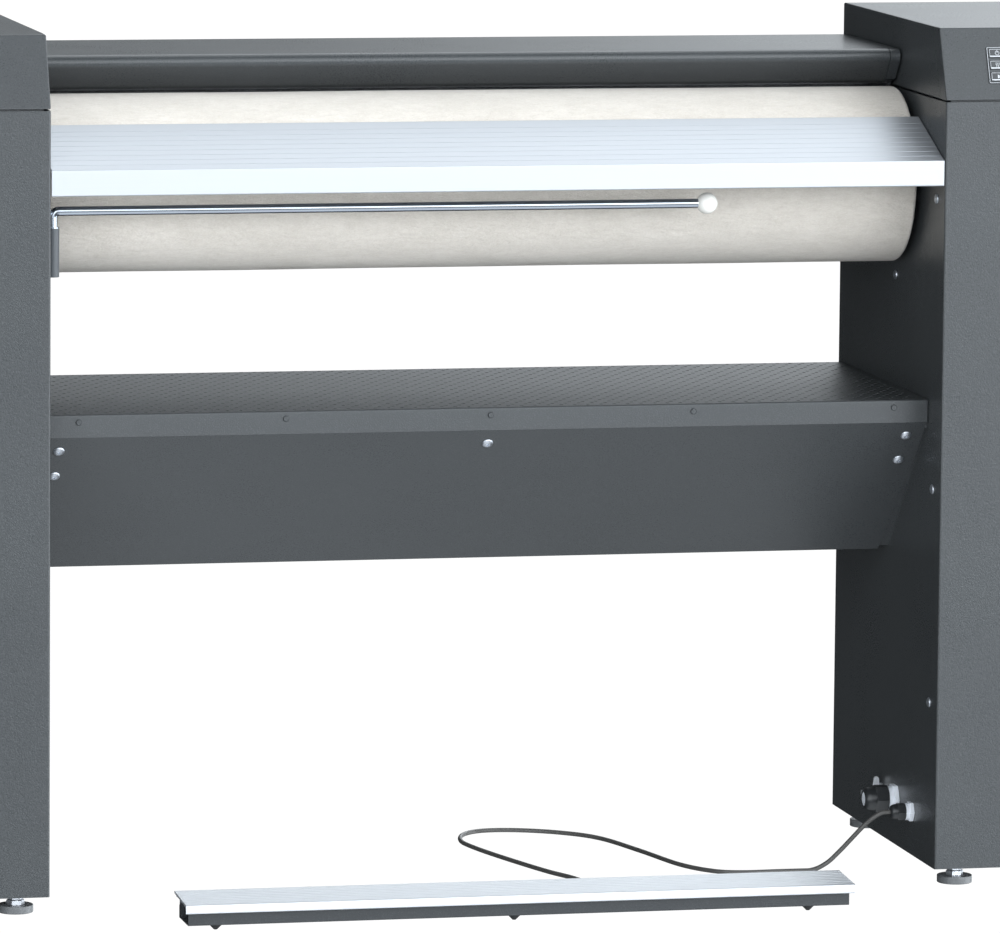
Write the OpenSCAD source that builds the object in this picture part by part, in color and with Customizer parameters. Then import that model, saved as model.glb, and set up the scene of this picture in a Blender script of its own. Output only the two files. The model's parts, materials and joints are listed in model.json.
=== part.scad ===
// Flatwork ironer: a padded roller between two columns, with a heated pan that
// closes on it from behind, a feed board, a laundry tray and a foot bar.
// Millimetres. X runs along the roller, Y to the back, Z up from the floor.
// The origin is on the floor, midway between the columns.

/* [Columns] */
// Clear width between the two columns
gap_w = 1064; // [760:1:1700]
// Width of each column
col_w = 205; // [195:1:280]
// Depth of each column
col_d = 467; // [460:1:520]
// Height of the casing's top above the floor
casing_top = 936; // [900:1:1000]
// Ground clearance under the casing
casing_z = 22; // [20:1:30]
// Height of the hood over the joint
hood_h = 83; // [75:1:100]
// How far the hood's front slopes back over its height
hood_slope = 36; // [25:1:45]
// Thickness of the casing sheet
sheet_t = 1.5; // [1:0.1:2]
// Outside radius of the casing's folds
fold_r = 2.6; // [2.2:0.1:4]
// Shadow joint between casing and hood
joint_gap = 2; // [1:0.5:3]
// Thickness of the side frame plates
frame_t = 4; // [3:0.5:6]
// Diameter of a levelling foot's disc
foot_d = 42; // [36:1:50]
// Diameter of a levelling foot's threaded stem
stem_d = 10; // [8:1:12]

/* [Roller] */
// Diameter over the cloth
roller_d = 210; // [200:1:220]
// Distance of the roller's axis behind the columns' front
roller_y = 195; // [190:1:200]
// Distance of the roller's axis below the casing's top
roller_drop = 101; // [96:1:106]
// Gap between a roller end and the column
roller_end_gap = 8; // [7:0.5:10]
// Thickness of the outer cloth
cloth_t = 2; // [1.5:0.5:3]
// Thickness of the resilient padding
padding_t = 7; // [5:0.5:10]
// Wall of the roller tube
tube_wall = 4; // [3:0.5:6]
// Diameter of the roller shaft
shaft_d = 25; // [20:1:30]

/* [Heated pan] */
// Gap between cloth and pan when the pan is pressed on, where the linen lies
pan_gap = 1; // [0.8:0.1:2]
// How far the pan stands off when it is lifted
pan_lift = 9; // [5:0.5:10]
// Thickness of the pan's wall
pan_t = 12; // [10:0.5:14]
// Diameter of a heating element
heater_d = 8.5; // [6.5:0.5:9]
// Thickness of the insulation blanket
insulation_t = 15; // [10:1:20]
// Distance of the arms' pivot behind the roller's axis
pivot_back = 67; // [60:1:75]
// Distance of the arms' pivot below the roller's axis
pivot_drop = 215; // [200:1:230]
// Diameter of the arms' pivot pin
pivot_d = 16; // [12:1:20]
// Length of the lever that the actuator pulls
lever_l = 100; // [90:1:110]

/* [Pan cover] */
// Thickness of the cover's sheet
cover_t = 1.5; // [1:0.1:2]
// Height of the cover above the lip of the finger guard
cover_rise = 44; // [40:1:48]
// Gap between the roller and the lip of the finger guard
lip_gap = 8.1; // [7:0.1:10]
// Radius of the rounded nose
nose_r = 9; // [7:0.5:11]
// Thickness of the finger guard's profile
guard_t = 2; // [1.5:0.1:2.5]
// Width of the end cap's rim
cap_w = 12; // [10:1:16]
// Gap between the end caps and the columns
cap_gap = 2.5; // [2:0.1:3.5]

/* [Feed board] */
// Length of the sloping board, front to back
board_l = 125.3; // [115:0.1:135]
// Slope of the board in degrees
board_slope = 20; // [15:0.5:24]
// Thickness of the extrusion
board_t = 3; // [2.5:0.1:4]
// Height of the front flange
board_flange = 30; // [20:1:34]
// Gap between the board and the roller
board_gap = 2.5; // [2:0.1:4]
// Pitch of the grooves
groove_pitch = 13; // [10:0.5:16]

/* [Laundry rail] */
// Diameter of the chrome rod
rail_d = 11; // [8:0.5:12]
// Length of the rod from its pivot to the ball's centre
rail_l = 776.7; // [500:0.1:900]
// Diameter of the ball
ball_d = 25; // [20:1:28]
// Height of the rod above the floor
rail_z = 817; // [805:1:820]

/* [Laundry tray] */
// Height of the tray
tray_z = 578; // [540:1:620]
// Distance of the tray's front behind the columns' front
tray_y = 57; // [45:1:70]
// Height of the tray's front lip
tray_lip = 27; // [22:1:32]
// Pitch of the perforation
hole_pitch = 32; // [28:1:60]
// Diameter of the perforation
hole_d = 5; // [4:0.5:7]
// Height of the sloping apron under the lip
apron_h = 174; // [140:1:200]
// How far the apron slopes back
apron_back = 169; // [130:1:180]

/* [Controls] */
// Width of the control panel
panel_w = 96; // [88:1:110]
// Height of the control panel along the slope
panel_h = 45; // [44:0.5:50]
// Width of a key
key_w = 20; // [16:0.5:24]
// Height of a key
key_h = 11; // [9:0.5:12]
// Travel of a key
key_travel = 1.2; // [0.6:0.1:1.4]

/* [Foot bar] */
// Length of the tread
tread_l = 792; // [500:1:900]
// Depth of the tread, front to back
tread_d = 75; // [68:1:90]
// How far the foot bar's front stands ahead of the columns
bar_reach = 165; // [140:1:220]
// Height of the tread's front edge
tread_z = 38; // [36:1:42]
// Travel of the tread in degrees
tread_travel = 5; // [2:0.5:6]

/* [Cable glands] */
// Diameter of the mains cable gland's body
mains_gland_d = 33; // [28:1:38]
// Diameter of the foot bar lead's gland
lead_gland_d = 20; // [16:1:24]
// Diameter of the foot bar's lead
lead_d = 5.5; // [5:0.1:6]

/* [Hidden] */

$fn = 48;

// One overrun for all cuts, and the play of a running fit and of pieces that only lie beside each other
over = 1;
play = 0.05;
seat_gap = 0.3;

// Where the columns' front plane lies, so that the machine with its foot bar is centred on the origin
machine_y = (bar_reach - col_d) / 2;
half_gap = gap_w / 2;

// Side frames, base frames and feet
hood_z = casing_top + joint_gap;
skirt_h = 15;
base_t = 3;
base_flange = 25;
base_flange_t = 2;
frame_front = 20;
frame_flange = 40;
frame_z = casing_z + base_t;
frame_top = casing_top - skirt_h - joint_gap;
frame_u = sheet_t + frame_t;
foot_inset = 35;
foot_disc_h = 9;
foot_cone_h = 2;
locknut_h = 7;
locknut_af = 17;
stem_top = 16;

// Casing
return_w = 20;
tongue_w = 10;
seam_w = 0.8;
screw_d = 9.4;
screw_h = 2.7;
shank_d = 4;
front_screw_inset = 34;
front_screw_shares = [0.233, 0.506, 0.875];
rear_screw_share = 0.76;
rear_screw_back = 15;
vent_w = 60;
vent_h = 4;
vent_pitch = 14;
vent_rows = 7;
vent_low = 90;
vent_high = 700;
hood_seam_back = 25;
hood_seam_depth = 0.4;

// Roller
roller_r = roller_d / 2;
roller_z = casing_top - roller_drop;
roller_l = gap_w - 2 * roller_end_gap;
padding_r = roller_r - cloth_t;
tube_r = padding_r - padding_t;
roller_round = 5;
end_disc_t = 8;
end_disc_inset = 6;
shaft_r = shaft_d / 2;
shaft_clear = 6;
shaft_hole_r = shaft_r + shaft_clear;
bearing_w = 86;
bearing_t = 12;
bearing_hub_wall = 17;
bearing_hub_r = shaft_r + bearing_hub_wall;
bearing_hub_l = 26;
bearing_bolt_r = 6;
bearing_bolt_h = 6;
bearing_bolt_inset = 14;
bearing_corner_r = 14;

// Geared motor on the left end of the shaft
gearbox_u = 50;
gearbox_w = 60;
gearbox_h = 100;
gearbox_boss_wall = 9.5;
gearbox_boss_r = shaft_r + gearbox_boss_wall;
gearbox_corner_r = 16;
motor_r = 52;
motor_l = 190;
motor_back = 50;
motor_cowl = 45;
motor_fin_t = 3;
motor_fin_pitch = 12;
motor_fin_depth = 5;
shaft_tail = 4;
torque_post_r = 10;
torque_post_drop = 100;
torque_strap_w = 30;
torque_strap_t = 4;

// Pan, swung about its pivot. Rest is lifted, and the swing turns it forward onto the roller.
pivot_y = roller_y + pivot_back;
pivot_z = roller_z - pivot_drop;
pan_reach = norm([pivot_back, pivot_drop]);
pan_swing = 2 * asin(pan_lift / 2 / pan_reach);
pan_y = pivot_y - pivot_back * cos(pan_swing) + pivot_drop * sin(pan_swing);
pan_z = pivot_z + pivot_back * sin(pan_swing) + pivot_drop * cos(pan_swing);
pan_r = roller_r + pan_gap;
pan_from = -55;
pan_to = 66;
rib_t = 10;
rib_half = 5;
rib_angles = [-37, -8, 21, 50];
rib_r = pan_r + pan_t + rib_t;
heater_cover = 2;
heater_ring_r = pan_r + pan_t + rib_t - heater_d / 2 - heater_cover;
insulation_r = rib_r + seat_gap;
insulation_cut = 12;

// Pan cover, its end caps and the finger guard, as an outline from the lip over the nose to the back
lip_angle = 68.2;
lip_y = roller_y + (roller_r + lip_gap) * cos(lip_angle);
lip_z = roller_z + (roller_r + lip_gap) * sin(lip_angle);
cover_top = lip_z + cover_rise;
nose_ahead = 33;
face_ahead = 20.5;
face_rise = 6.5;
nose_y = lip_y - nose_ahead;
nose_z = cover_top - nose_r;
face_y = lip_y - face_ahead;
face_z = lip_z + face_rise;
face_run = norm([face_y - nose_y, face_z - nose_z]);
face_angle = atan2(nose_z - face_z, face_y - nose_y) - asin(nose_r / face_run);
lip_slope = atan2(face_z - lip_z, lip_y - face_y);
seam_behind = 4;
seam_y = nose_y + seam_behind;
seam = 0.5;
back_inset = 12;
cover_back = col_d - back_inset;
cover_corner_r = 14;
nose_steps = 16;
corner_steps = 8;
cover_bottom_rise = 5;
cover_bottom_back = 67;
cover_bottom = roller_z - roller_r + cover_bottom_rise;
cover_bottom_y = roller_y + cover_bottom_back;
cap_t = 3;
cap_rim_t = 2;
cap_u = cap_gap + cap_t;
cap_inner_u = cap_gap + cap_w;
cap_clear = 4;
hinge_pin_r = 3;
hinge_behind = 10;
hinge_below = 9;
hinge_y = nose_y + hinge_behind;
hinge_z = cover_top - hinge_below;
guard_lug_r = 6;
guard_lug_t = 3;
guard_travel = 6;

// Arms that carry the pan through windows in the column, their pin and the actuator
arm_u = 30;
arm_t = 8;
boss_r = 12;
boss_back = 205;
boss_below = 15;
boss_above = 50;
boss_y = roller_y + boss_back;
boss_z1 = roller_z - boss_below;
boss_z2 = roller_z + boss_above;
window_gap = 4;
window_y0 = boss_y - boss_r - window_gap - pan_lift * (boss_z2 + boss_r - pivot_z) / pan_reach;
window_y1 = boss_y + boss_r + window_gap;
window_z0 = boss_z1 - boss_r - window_gap;
window_z1 = boss_z2 + boss_r + window_gap + pan_lift * (boss_y - pivot_y) / pan_reach;
arm_hub_r = 24;
arm_end_r = 18;
lever_end_r = 14;
pivot_r = pivot_d / 2;
pivot_collar_wall = 5;
pivot_collar_r = pivot_r + pivot_collar_wall;
pivot_cap_t = 4;
fork_pin_r = 5;
fork_slot = 1;
fork_wall = 6;
fork_d = 22;
fork_below = 24;
fork_above = 14;
rod_r = 6;
rod_l = 100;
actuator_w = 44;
actuator_h = 170;
actuator_head_h = 20;
actuator_head_w = 34;
bracket_h = 40;

// Feed board, from its back edge beside the roller to its front flange
board_angle = 44.25;
board_y1 = roller_y - (roller_r + board_gap) * cos(board_angle);
board_z1 = roller_z + (roller_r + board_gap) * sin(board_angle);
board_y0 = board_y1 - board_l * cos(board_slope);
board_z0 = board_z1 - board_l * sin(board_slope);
board_end_gap = 1;
groove_w = 1.2;
groove_d = 0.7;
groove_count = 8;
board_bracket_t = 3;
board_bracket_w = 16;
board_bracket_from = 20;
board_bracket_l = 55;
board_bracket_drop = 22;

// Laundry rail and its sleeve on the left column
rail_r = rail_d / 2;
rail_u = 8.3;
rail_y = 38;
rail_bend_r = 7.5;
sleeve_wall = 2.1;
sleeve_h = 56;
sleeve_below = 76;
sleeve_z = rail_z - sleeve_below;
sleeve_lug_w = 12;
rail_foot = 6;
collar_h = 2;
collar_r = rail_r + sleeve_wall;

// Tray, apron, brackets and cross beam
tray_t = 1.5;
tray_end_gap = 1;
tray_back = col_d - back_inset;
tray_back_flange = 20;
tray_margin = 14;
lip_fold = 1;
rivet_d = 7.4;
rivet_h = 1.6;
rivet_drop = 9;
rivet_shares = [-0.46, -0.23, 0, 0.23, 0.46];
apron_t = 1.5;
apron_y = tray_y + tray_t;
apron_top = tray_z - tray_lip;
apron_flange = 14;
apron_end = 1.5;
apron_taper = 11;
apron_taper_share = 0.12;
tray_bracket_t = 2;
tray_bracket_lip = 26;
apron_slope = atan2(apron_h, apron_back);
bracket_lip_shares = [0.05, 0.98];
apron_screw_shares = [0.1, 0.29];
apron_screw_inset = 22;
beam_w = 50;
beam_y = 180;
beam_drop = 78;
beam_wall = 3;
beam_foot_w = 80;
beam_foot_t = 5;

// Control panel on the right hood's slope, its keys and the board behind them
slope_l = norm([hood_slope, hood_h]);
slope_angle = atan2(hood_h, hood_slope);
panel_u = 54.5;
panel_s = 20.5;
panel_t = 1.2;
panel_rim = 0.8;
key_inset = 2.5;
key_rise = 2.7;
key_u = panel_u + key_inset;
key_s0 = panel_s + key_rise;
key_pitch = 14.6;
key_gap = 0.35;
key_proud = 0.8;
key_flange = 1;
key_flange_t = 2;
window_w = 42;
window_h = 30;
window_t = 1;
board_depth = 8.6;
board_thick = 1.6;
board_margin = 6;
spacer_r = 3;
switch_w = 6;
terminal_w = 120;
terminal_d = 60;
terminal_h = 45;
terminal_z = 180;
terminal_y = 300;
terminal_pitch = 18;
terminal_slot_d = 10;

// Foot bar
bar_x = -6;
bar_short = 9;
bar_l = tread_l - bar_short;
bar_front = 10;
bar_d = 58;
bar_z = 12;
bar_wall = 2;
bar_front_h = 15;
bar_rear_h = 14;
tread_t = 3;
tread_rise = 4;
tread_flange = 10.5;
tread_groove_pitch = 8;
tread_groove_count = 8;
pin_r = 2.5;
barrel_r = 5.5;
pin_inset = 8;
pin_below = 7;
pin_y = -bar_reach + bar_front + bar_d - pin_inset;
pin_z = tread_z - pin_below;
lug_w = 8;
lug_r = 5.5;
lug_gap = 0.5;
spring_w = 20;
spring_t = 1;
spring_share = 0.3;
spring_rise_run = 16;
switch_l = 28;
switch_d = 16;
switch_h = 11;
switch_x = 90;
bar_foot_r = 8;
bar_foot_share = 0.45;
bar_foot_back = 40;
bar_foot_flat = 2;

// Glands and earth terminal on the right column's inner side
mains_y = 174;
mains_z = 83;
mains_collar_af = 38;
mains_collar_l = 9;
mains_l = 32;
mains_bore_r = 9;
mains_bore_l = 20;
lead_y = 102;
lead_z = 75;
lead_collar_af = 24;
lead_collar_l = 7;
lead_gland_l = 20;
earth_y = 238;
earth_z = 76;
earth_base_r = 11;
earth_base_h = 2;
stud_r = 3;
stud_l = 26;
wing_hub_r = 7;
wing_hub_l = 11;
wing_r = 3.2;
wing_out = 16;
wing_t = 3;
cable_hole_r = 8;

// Route of the foot bar's lead, chosen by hand: out of the gland, down to the floor, round in one loop
// to the back of the foot bar. X, Y from the columns' front, Z from the floor, to the lead's centre.
lead_r = lead_d / 2;
lead_start = half_gap - lead_collar_l - lead_gland_l;
lead_end_x = 138;
lead_end_z = 19;
lead_points = [
    [lead_start, lead_y, lead_z], [495, 103, 74], [484, 106, 67], [473, 110, 56], [461, 114, 42],
    [447, 118, 26], [431, 121, 11], [411, 124, lead_r], [372, 125, lead_r], [330, 125, lead_r],
    [298, 139, lead_r], [268, 190, lead_r], [243, 291, lead_r], [215, 385, lead_r], [176, 432, lead_r],
    [125, 459, lead_r], [82, 461, lead_r], [55, 438, lead_r], [43, 397, lead_r], [47, 355, lead_r],
    [66, 280, lead_r], [98, 177, lead_r], [121, 120, lead_r], [134, 60, lead_r], [138, 0, lead_r],
    [lead_end_x, -50, 7], [lead_end_x, -76, 16], [lead_end_x, -bar_reach + bar_front + bar_d, lead_end_z]
];
lead_sides = 8;
lead_steps = 3;

// Puts a shape that is measured from the columns' front plane in its place
module placed() {
    translate([0, machine_y, 0]) children();
}

// One column: local X runs from its inner face outwards. The side is -1 for the left, 1 for the right.
module at_side(side) {
    placed() translate([side * half_gap, 0, 0]) mirror([side < 0 ? 1 : 0, 0, 0]) children();
}

module both_sides() {
    at_side(-1) children();
    at_side(1) children();
}

// Extrudes a drawing of Y and Z along X
module along_x(l) {
    rotate([90, 0, 90]) linear_extrude(l) children();
}

// The same, centred between the columns
module across(l) {
    placed() translate([-l / 2, 0, 0]) along_x(l) children();
}

// A round bar along X
module bar_x(r, l) {
    rotate([0, 90, 0]) cylinder(r = r, h = l);
}

function turn(a, r) = [r * cos(a), r * sin(a)];

// Points on an arc from angle a0 to a1 in n steps
function arc(c, r, a0, a1, n) = [for (i = [0:n]) c + turn(a0 + (a1 - a0) * i / n, r)];

// A strip of sheet of thickness t along a line of points, with its bends rounded
module strip_2d(points, t) {
    for (i = [0:len(points) - 2]) {
        step = points[i + 1] - points[i];
        translate(points[i]) rotate(atan2(step[1], step[0])) translate([0, -t / 2]) square([norm(step), t]);
    }
    for (p = points)
        translate(p) circle(d = t, $fn = 24);
}

function reversed(list) = [for (i = [len(list) - 1:-1:0]) list[i]];

// Part of a ring between two radii and two angles
module sector_2d(r0, r1, a0, a1) {
    reach = 2 * r1;
    intersection() {
        difference() {
            circle(r1, $fn = 96);
            circle(r0, $fn = 96);
        }
        polygon([[0, 0], turn(a0, reach), turn((a0 + a1) / 2, reach), turn(a1, reach)]);
    }
}

// A flat link between two bosses
module link_2d(a, b, ra, rb) {
    side = [a[1] - b[1], b[0] - a[0]] / norm(b - a);
    polygon([a + side * ra, b + side * rb, b - side * rb, a - side * ra]);
    translate(a) circle(ra);
    translate(b) circle(rb);
}

module rounded_2d(w, h, r) {
    translate([r, 0]) square([w - 2 * r, h]);
    translate([0, r]) square([w, h - 2 * r]);
    for (x = [r, w - r], y = [r, h - r])
        translate([x, y]) circle(r);
}

// The domed head of a screw on the plane z = 0
module dome(d, h) {
    r = d / 2;
    ball_r = (r * r + h * h) / 2 / h;
    rotate_extrude() intersection() {
        translate([0, h - ball_r]) circle(ball_r);
        square([r, h]);
    }
}

// The flat rounded head of a rivet on the plane z = 0
module button(d, h) {
    cylinder(d = d, h = h / 2);
    translate([0, 0, h / 2]) cylinder(d1 = d, d2 = d - h, h = h / 2);
}

module hex(af, h) {
    cylinder(d = af / cos(30), h = h, $fn = 6);
}

// Columns

// A casing sheet seen from above: inner side, rounded front corners and a short outer return
module casing_2d() {
    translate([0, fold_r]) square([sheet_t, col_d - fold_r]);
    translate([fold_r, 0]) square([col_w - 2 * fold_r, sheet_t]);
    translate([col_w - sheet_t, fold_r]) square([sheet_t, return_w - fold_r]);
    for (x = [fold_r, col_w - fold_r]) {
        intersection() {
            translate([x, fold_r]) difference() {
                circle(fold_r);
                circle(fold_r - sheet_t);
            }
            translate([x < col_w / 2 ? 0 : col_w - fold_r, 0]) square(fold_r);
        }
    }
}

module shaft_hole() {
    translate([-over, roller_y, roller_z]) bar_x(shaft_hole_r, frame_u + 2 * over);
}

module arm_window() {
    translate([-over, window_y0, window_z0])
        cube([frame_u + 2 * over, window_y1 - window_y0, window_z1 - window_z0]);
}

// The screws that hold the casing to the side frame, on one column
module at_casing_screws() {
    for (share = front_screw_shares)
        translate([0, front_screw_inset, share * casing_top]) children();
    translate([0, roller_y + rear_screw_back, rear_screw_share * casing_top]) children();
}

module screw_holes() {
    at_casing_screws() translate([-over, 0, 0]) bar_x(shank_d / 2 + play, frame_u + 2 * over);
}

module cable_holes() {
    for (p = [[mains_y, mains_z], [lead_y, lead_z]])
        translate([-over, p[0], p[1]]) bar_x(cable_hole_r, frame_u + 2 * over);
}

module side_frame(side) {
    frame_d = col_d - 2 * frame_front;
    difference() {
        union() {
            translate([sheet_t, frame_front, frame_z]) cube([frame_t, frame_d, frame_top - frame_z]);
            for (y = [frame_front, frame_front + frame_d - frame_t])
                translate([sheet_t, y, frame_z]) cube([frame_flange, frame_t, frame_top - frame_z]);
        }
        shaft_hole();
        arm_window();
        screw_holes();
        if (side > 0)
            cable_holes();
        translate([-over, pivot_y, pivot_z]) bar_x(pivot_r + play, frame_u + 2 * over);
    }
}

module left_side_frame() {
    color("dimgray") at_side(-1) side_frame(-1);
}

module right_side_frame() {
    color("dimgray") at_side(1) side_frame(1);
}

module cross_beam() {
    foot_inset_b = (beam_foot_w - beam_w) / 2;
    color("dimgray") {
        across(gap_w - 2 * tray_bracket_t) translate([beam_y, tray_z - beam_drop]) difference() {
            square(beam_w);
            translate([beam_wall, beam_wall]) square(beam_w - 2 * beam_wall);
        }
        for (side = [-1, 1])
            at_side(side) translate([-beam_foot_t - tray_bracket_t, 0, 0]) along_x(beam_foot_t)
                translate([beam_y - foot_inset_b, tray_z - beam_drop - foot_inset_b])
                    rounded_2d(beam_foot_w, beam_foot_w - foot_inset_b, foot_inset_b / 2);
    }
}

module at_feet() {
    for (u = [foot_inset, col_w - foot_inset], y = [foot_inset, col_d - foot_inset])
        translate([u, y, 0]) children();
}

// The tray of folded sheet that a column stands on
module base_frames() {
    w = col_w - 2 * sheet_t;
    d = col_d - 2 * sheet_t;
    color("dimgray") both_sides() difference() {
        union() {
            translate([sheet_t, sheet_t, casing_z]) cube([w, d, base_t]);
            for (y = [sheet_t, sheet_t + d - base_flange_t])
                translate([sheet_t + base_flange_t, y, casing_z])
                    cube([w - base_flange_t, base_flange_t, base_flange]);
            translate([sheet_t + w - base_flange_t, sheet_t, casing_z])
                cube([base_flange_t, d, base_flange]);
        }
        at_feet() translate([0, 0, casing_z - over]) cylinder(d = stem_d + 2 * play, h = base_t + 2 * over);
    }
}

module levelling_feet() {
    color("slategray") both_sides() at_feet() {
        cylinder(d = foot_d, h = foot_disc_h);
        translate([0, 0, foot_disc_h]) cylinder(d1 = foot_d - 2 * foot_cone_h, d2 = stem_d * 2, h = foot_cone_h);
        cylinder(d = stem_d, h = casing_z + stem_top);
    }
}

module foot_locknuts() {
    color("silver") both_sides() at_feet() translate([0, 0, casing_z - locknut_h]) difference() {
        hex(locknut_af, locknut_h);
        translate([0, 0, -over]) cylinder(d = stem_d + 2 * play, h = locknut_h + 2 * over);
    }
}

module casing(side) {
    difference() {
        translate([0, 0, casing_z]) linear_extrude(casing_top - casing_z) casing_2d();
        shaft_hole();
        arm_window();
        screw_holes();
        if (side > 0)
            cable_holes();
    }
}

module left_casing() {
    color("darkslategray") at_side(-1) casing(-1);
}

module right_casing() {
    color("darkslategray") at_side(1) casing(1);
}

// The outer side: a sheet behind the casing's return, with a tongue tucked under it
module side_cover() {
    y0 = return_w + seam_w;
    h = casing_top - casing_z;
    tongue_z = frame_z + base_flange;
    difference() {
        union() {
            translate([col_w - sheet_t, y0, casing_z]) cube([sheet_t, col_d - y0, h]);
            translate([col_w - 2 * sheet_t, return_w - tongue_w, tongue_z])
                cube([sheet_t, tongue_w + seam_w + sheet_t, frame_top - tongue_z]);
        }
        translate([col_w - sheet_t - over, vent_low, vent_low]) vents();
    }
}

// Rows of slots cut through a sheet that lies in the plane of Y and Z
module vents() {
    for (i = [0:vent_rows - 1])
        translate([0, 0, i * vent_pitch]) along_x(sheet_t + 2 * over)
            rounded_2d(vent_w, vent_h, vent_h / 2 - play);
}

module left_side_cover() {
    color("darkslategray") at_side(-1) side_cover();
}

module right_side_cover() {
    color("darkslategray") at_side(1) side_cover();
}

// The back: a sheet between the sides, with a forward flange against each of them
module back_cover() {
    w = col_w - 2 * sheet_t;
    h = casing_top - casing_z;
    flange_z = frame_z + base_flange;
    difference() {
        union() {
            translate([sheet_t, col_d - sheet_t, casing_z]) cube([w, sheet_t, h]);
            for (u = [sheet_t, sheet_t + w - sheet_t])
                translate([u, col_d - tongue_w - sheet_t, flange_z]) cube([sheet_t, tongue_w + over, frame_top - flange_z]);
        }
        for (z = [vent_low, vent_high])
            translate([col_w / 2 + vent_w / 2, col_d - sheet_t - over, z]) rotate([0, 0, 90]) vents();
    }
}

module left_back_cover() {
    color("darkslategray") at_side(-1) back_cover();
}

module right_back_cover() {
    color("darkslategray") at_side(1) back_cover();
}

// The hood's side view, drawn inside its own wall by the inset
module hood_2d(inset, drop) {
    back = inset * slope_l / hood_h;
    polygon([
        [back - drop * hood_slope / hood_h, -drop],
        [back + (hood_h - inset) * hood_slope / hood_h, hood_h - inset],
        [col_d - inset, hood_h - inset],
        [col_d - inset, -drop]
    ]);
}

// Turns a shape drawn along the slope of the hood's front (X along, Y up the slope, Z outwards)
module on_slope() {
    translate([0, 0, hood_z]) rotate([slope_angle, 0, 0]) children();
}

module hood(side) {
    difference() {
        union() {
            translate([0, 0, hood_z]) difference() {
                along_x(col_w) hood_2d(0, 0);
                translate([sheet_t, 0, 0]) along_x(col_w - 2 * sheet_t) hood_2d(sheet_t, over);
            }
            // A skirt inside the casing carries the hood over the shadow joint
            translate([sheet_t, sheet_t, casing_top - skirt_h]) difference() {
                cube([col_w - 2 * sheet_t, col_d - 2 * sheet_t, skirt_h + joint_gap + sheet_t]);
                translate([sheet_t, sheet_t, -over])
                    cube([col_w - 4 * sheet_t, col_d - 4 * sheet_t, skirt_h + joint_gap + sheet_t + 2 * over]);
            }
        }
        // The skirt's top corner is trimmed to the slope
        translate([-over, 0, hood_z]) along_x(col_w + 2 * over)
            polygon([[-hood_h, 0], [0, 0], [hood_slope, hood_h], [-hood_h, hood_h]]);
        // The seam of the front sheet's wrap on the inner side
        on_slope() translate([-over, -over, -hood_seam_back])
            cube([over + hood_seam_depth, slope_l + hood_seam_back, seam_w]);
        if (side > 0)
            panel_cutouts();
    }
}

module left_hood() {
    color("darkslategray") at_side(-1) hood(-1);
}

module right_hood() {
    color("darkslategray") at_side(1) hood(1);
}

// The apron's screws: a row in the middle and two at each end, on the apron's slope
module at_apron_screws() {
    for (side = [-1, 1], share = apron_screw_shares)
        on_apron(side * (half_gap - apron_screw_inset), share) children();
    on_apron(0, apron_screw_shares[0]) children();
}

// A point on the apron's outer face, with Z outwards
module on_apron(x, share) {
    placed() translate([x, apron_y + share * apron_back, apron_top - share * apron_h])
        rotate([180 - apron_slope, 0, 0]) translate([0, 0, apron_t / 2]) children();
}

module panel_screws() {
    color("silver") {
        both_sides() at_casing_screws() rotate([0, -90, 0]) {
            dome(screw_d, screw_h);
            translate([0, 0, -frame_u]) cylinder(d = shank_d, h = frame_u + over);
        }
        at_apron_screws() dome(screw_d, screw_h);
    }
}

// Roller

module ring_along_x(r0, r1, l) {
    placed() translate([-l / 2, roller_y, roller_z]) difference() {
        bar_x(r1, l);
        translate([-over, 0, 0]) bar_x(r0, l + 2 * over);
    }
}

module roller_bearings() {
    color("gray") both_sides() translate([frame_u, roller_y, roller_z]) difference() {
        union() {
            translate([0, -bearing_w / 2, -bearing_w / 2]) along_x(bearing_t)
                rounded_2d(bearing_w, bearing_w, bearing_corner_r);
            bar_x(bearing_hub_r, bearing_hub_l);
            for (y = [-1, 1], z = [-1, 1])
                translate([0, y * (bearing_w / 2 - bearing_bolt_inset), z * (bearing_w / 2 - bearing_bolt_inset)])
                    bar_x(bearing_bolt_r, bearing_t + bearing_bolt_h);
        }
        translate([-over, 0, 0]) bar_x(shaft_r + play, bearing_hub_l + 2 * over);
    }
}

module roller_tube() {
    color("lightgray") ring_along_x(tube_r - tube_wall, tube_r - play, roller_l - 2 * roller_round);
}

module roller_end_discs() {
    color("gray") for (side = [-1, 1])
        at_side(side) translate([-roller_end_gap - roller_round - end_disc_inset, roller_y, roller_z])
            mirror([1, 0, 0]) difference() {
                bar_x(tube_r - tube_wall - play, end_disc_t);
                translate([-over, 0, 0]) bar_x(shaft_r + play, end_disc_t + 2 * over);
            }
}

module roller_shaft() {
    left = half_gap + gearbox_u + gearbox_w + shaft_tail;
    right = half_gap + frame_u + bearing_hub_l + shaft_tail;
    color("silver") placed() translate([-left, roller_y, roller_z]) bar_x(shaft_r, left + right);
}

module roller_padding() {
    color("wheat") ring_along_x(tube_r, padding_r - play, roller_l - 2 * roller_round);
}

// The cloth goes round the padding's ends, which it draws into a soft edge
module roller_cloth() {
    color("ivory") placed() translate([-roller_l / 2, roller_y, roller_z]) rotate([0, 90, 0]) rotate_extrude($fn = 96)
        difference() {
            union() {
                translate([tube_r, roller_round]) square([roller_r - tube_r, roller_l - 2 * roller_round]);
                translate([tube_r, 0]) square([roller_r - tube_r - roller_round, roller_l]);
                for (x = [roller_round, roller_l - roller_round])
                    translate([roller_r - roller_round, x]) circle(roller_round);
            }
            translate([0, roller_round - play]) square([padding_r, roller_l - 2 * roller_round + 2 * play]);
        }
}

// Geared motor

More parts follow.
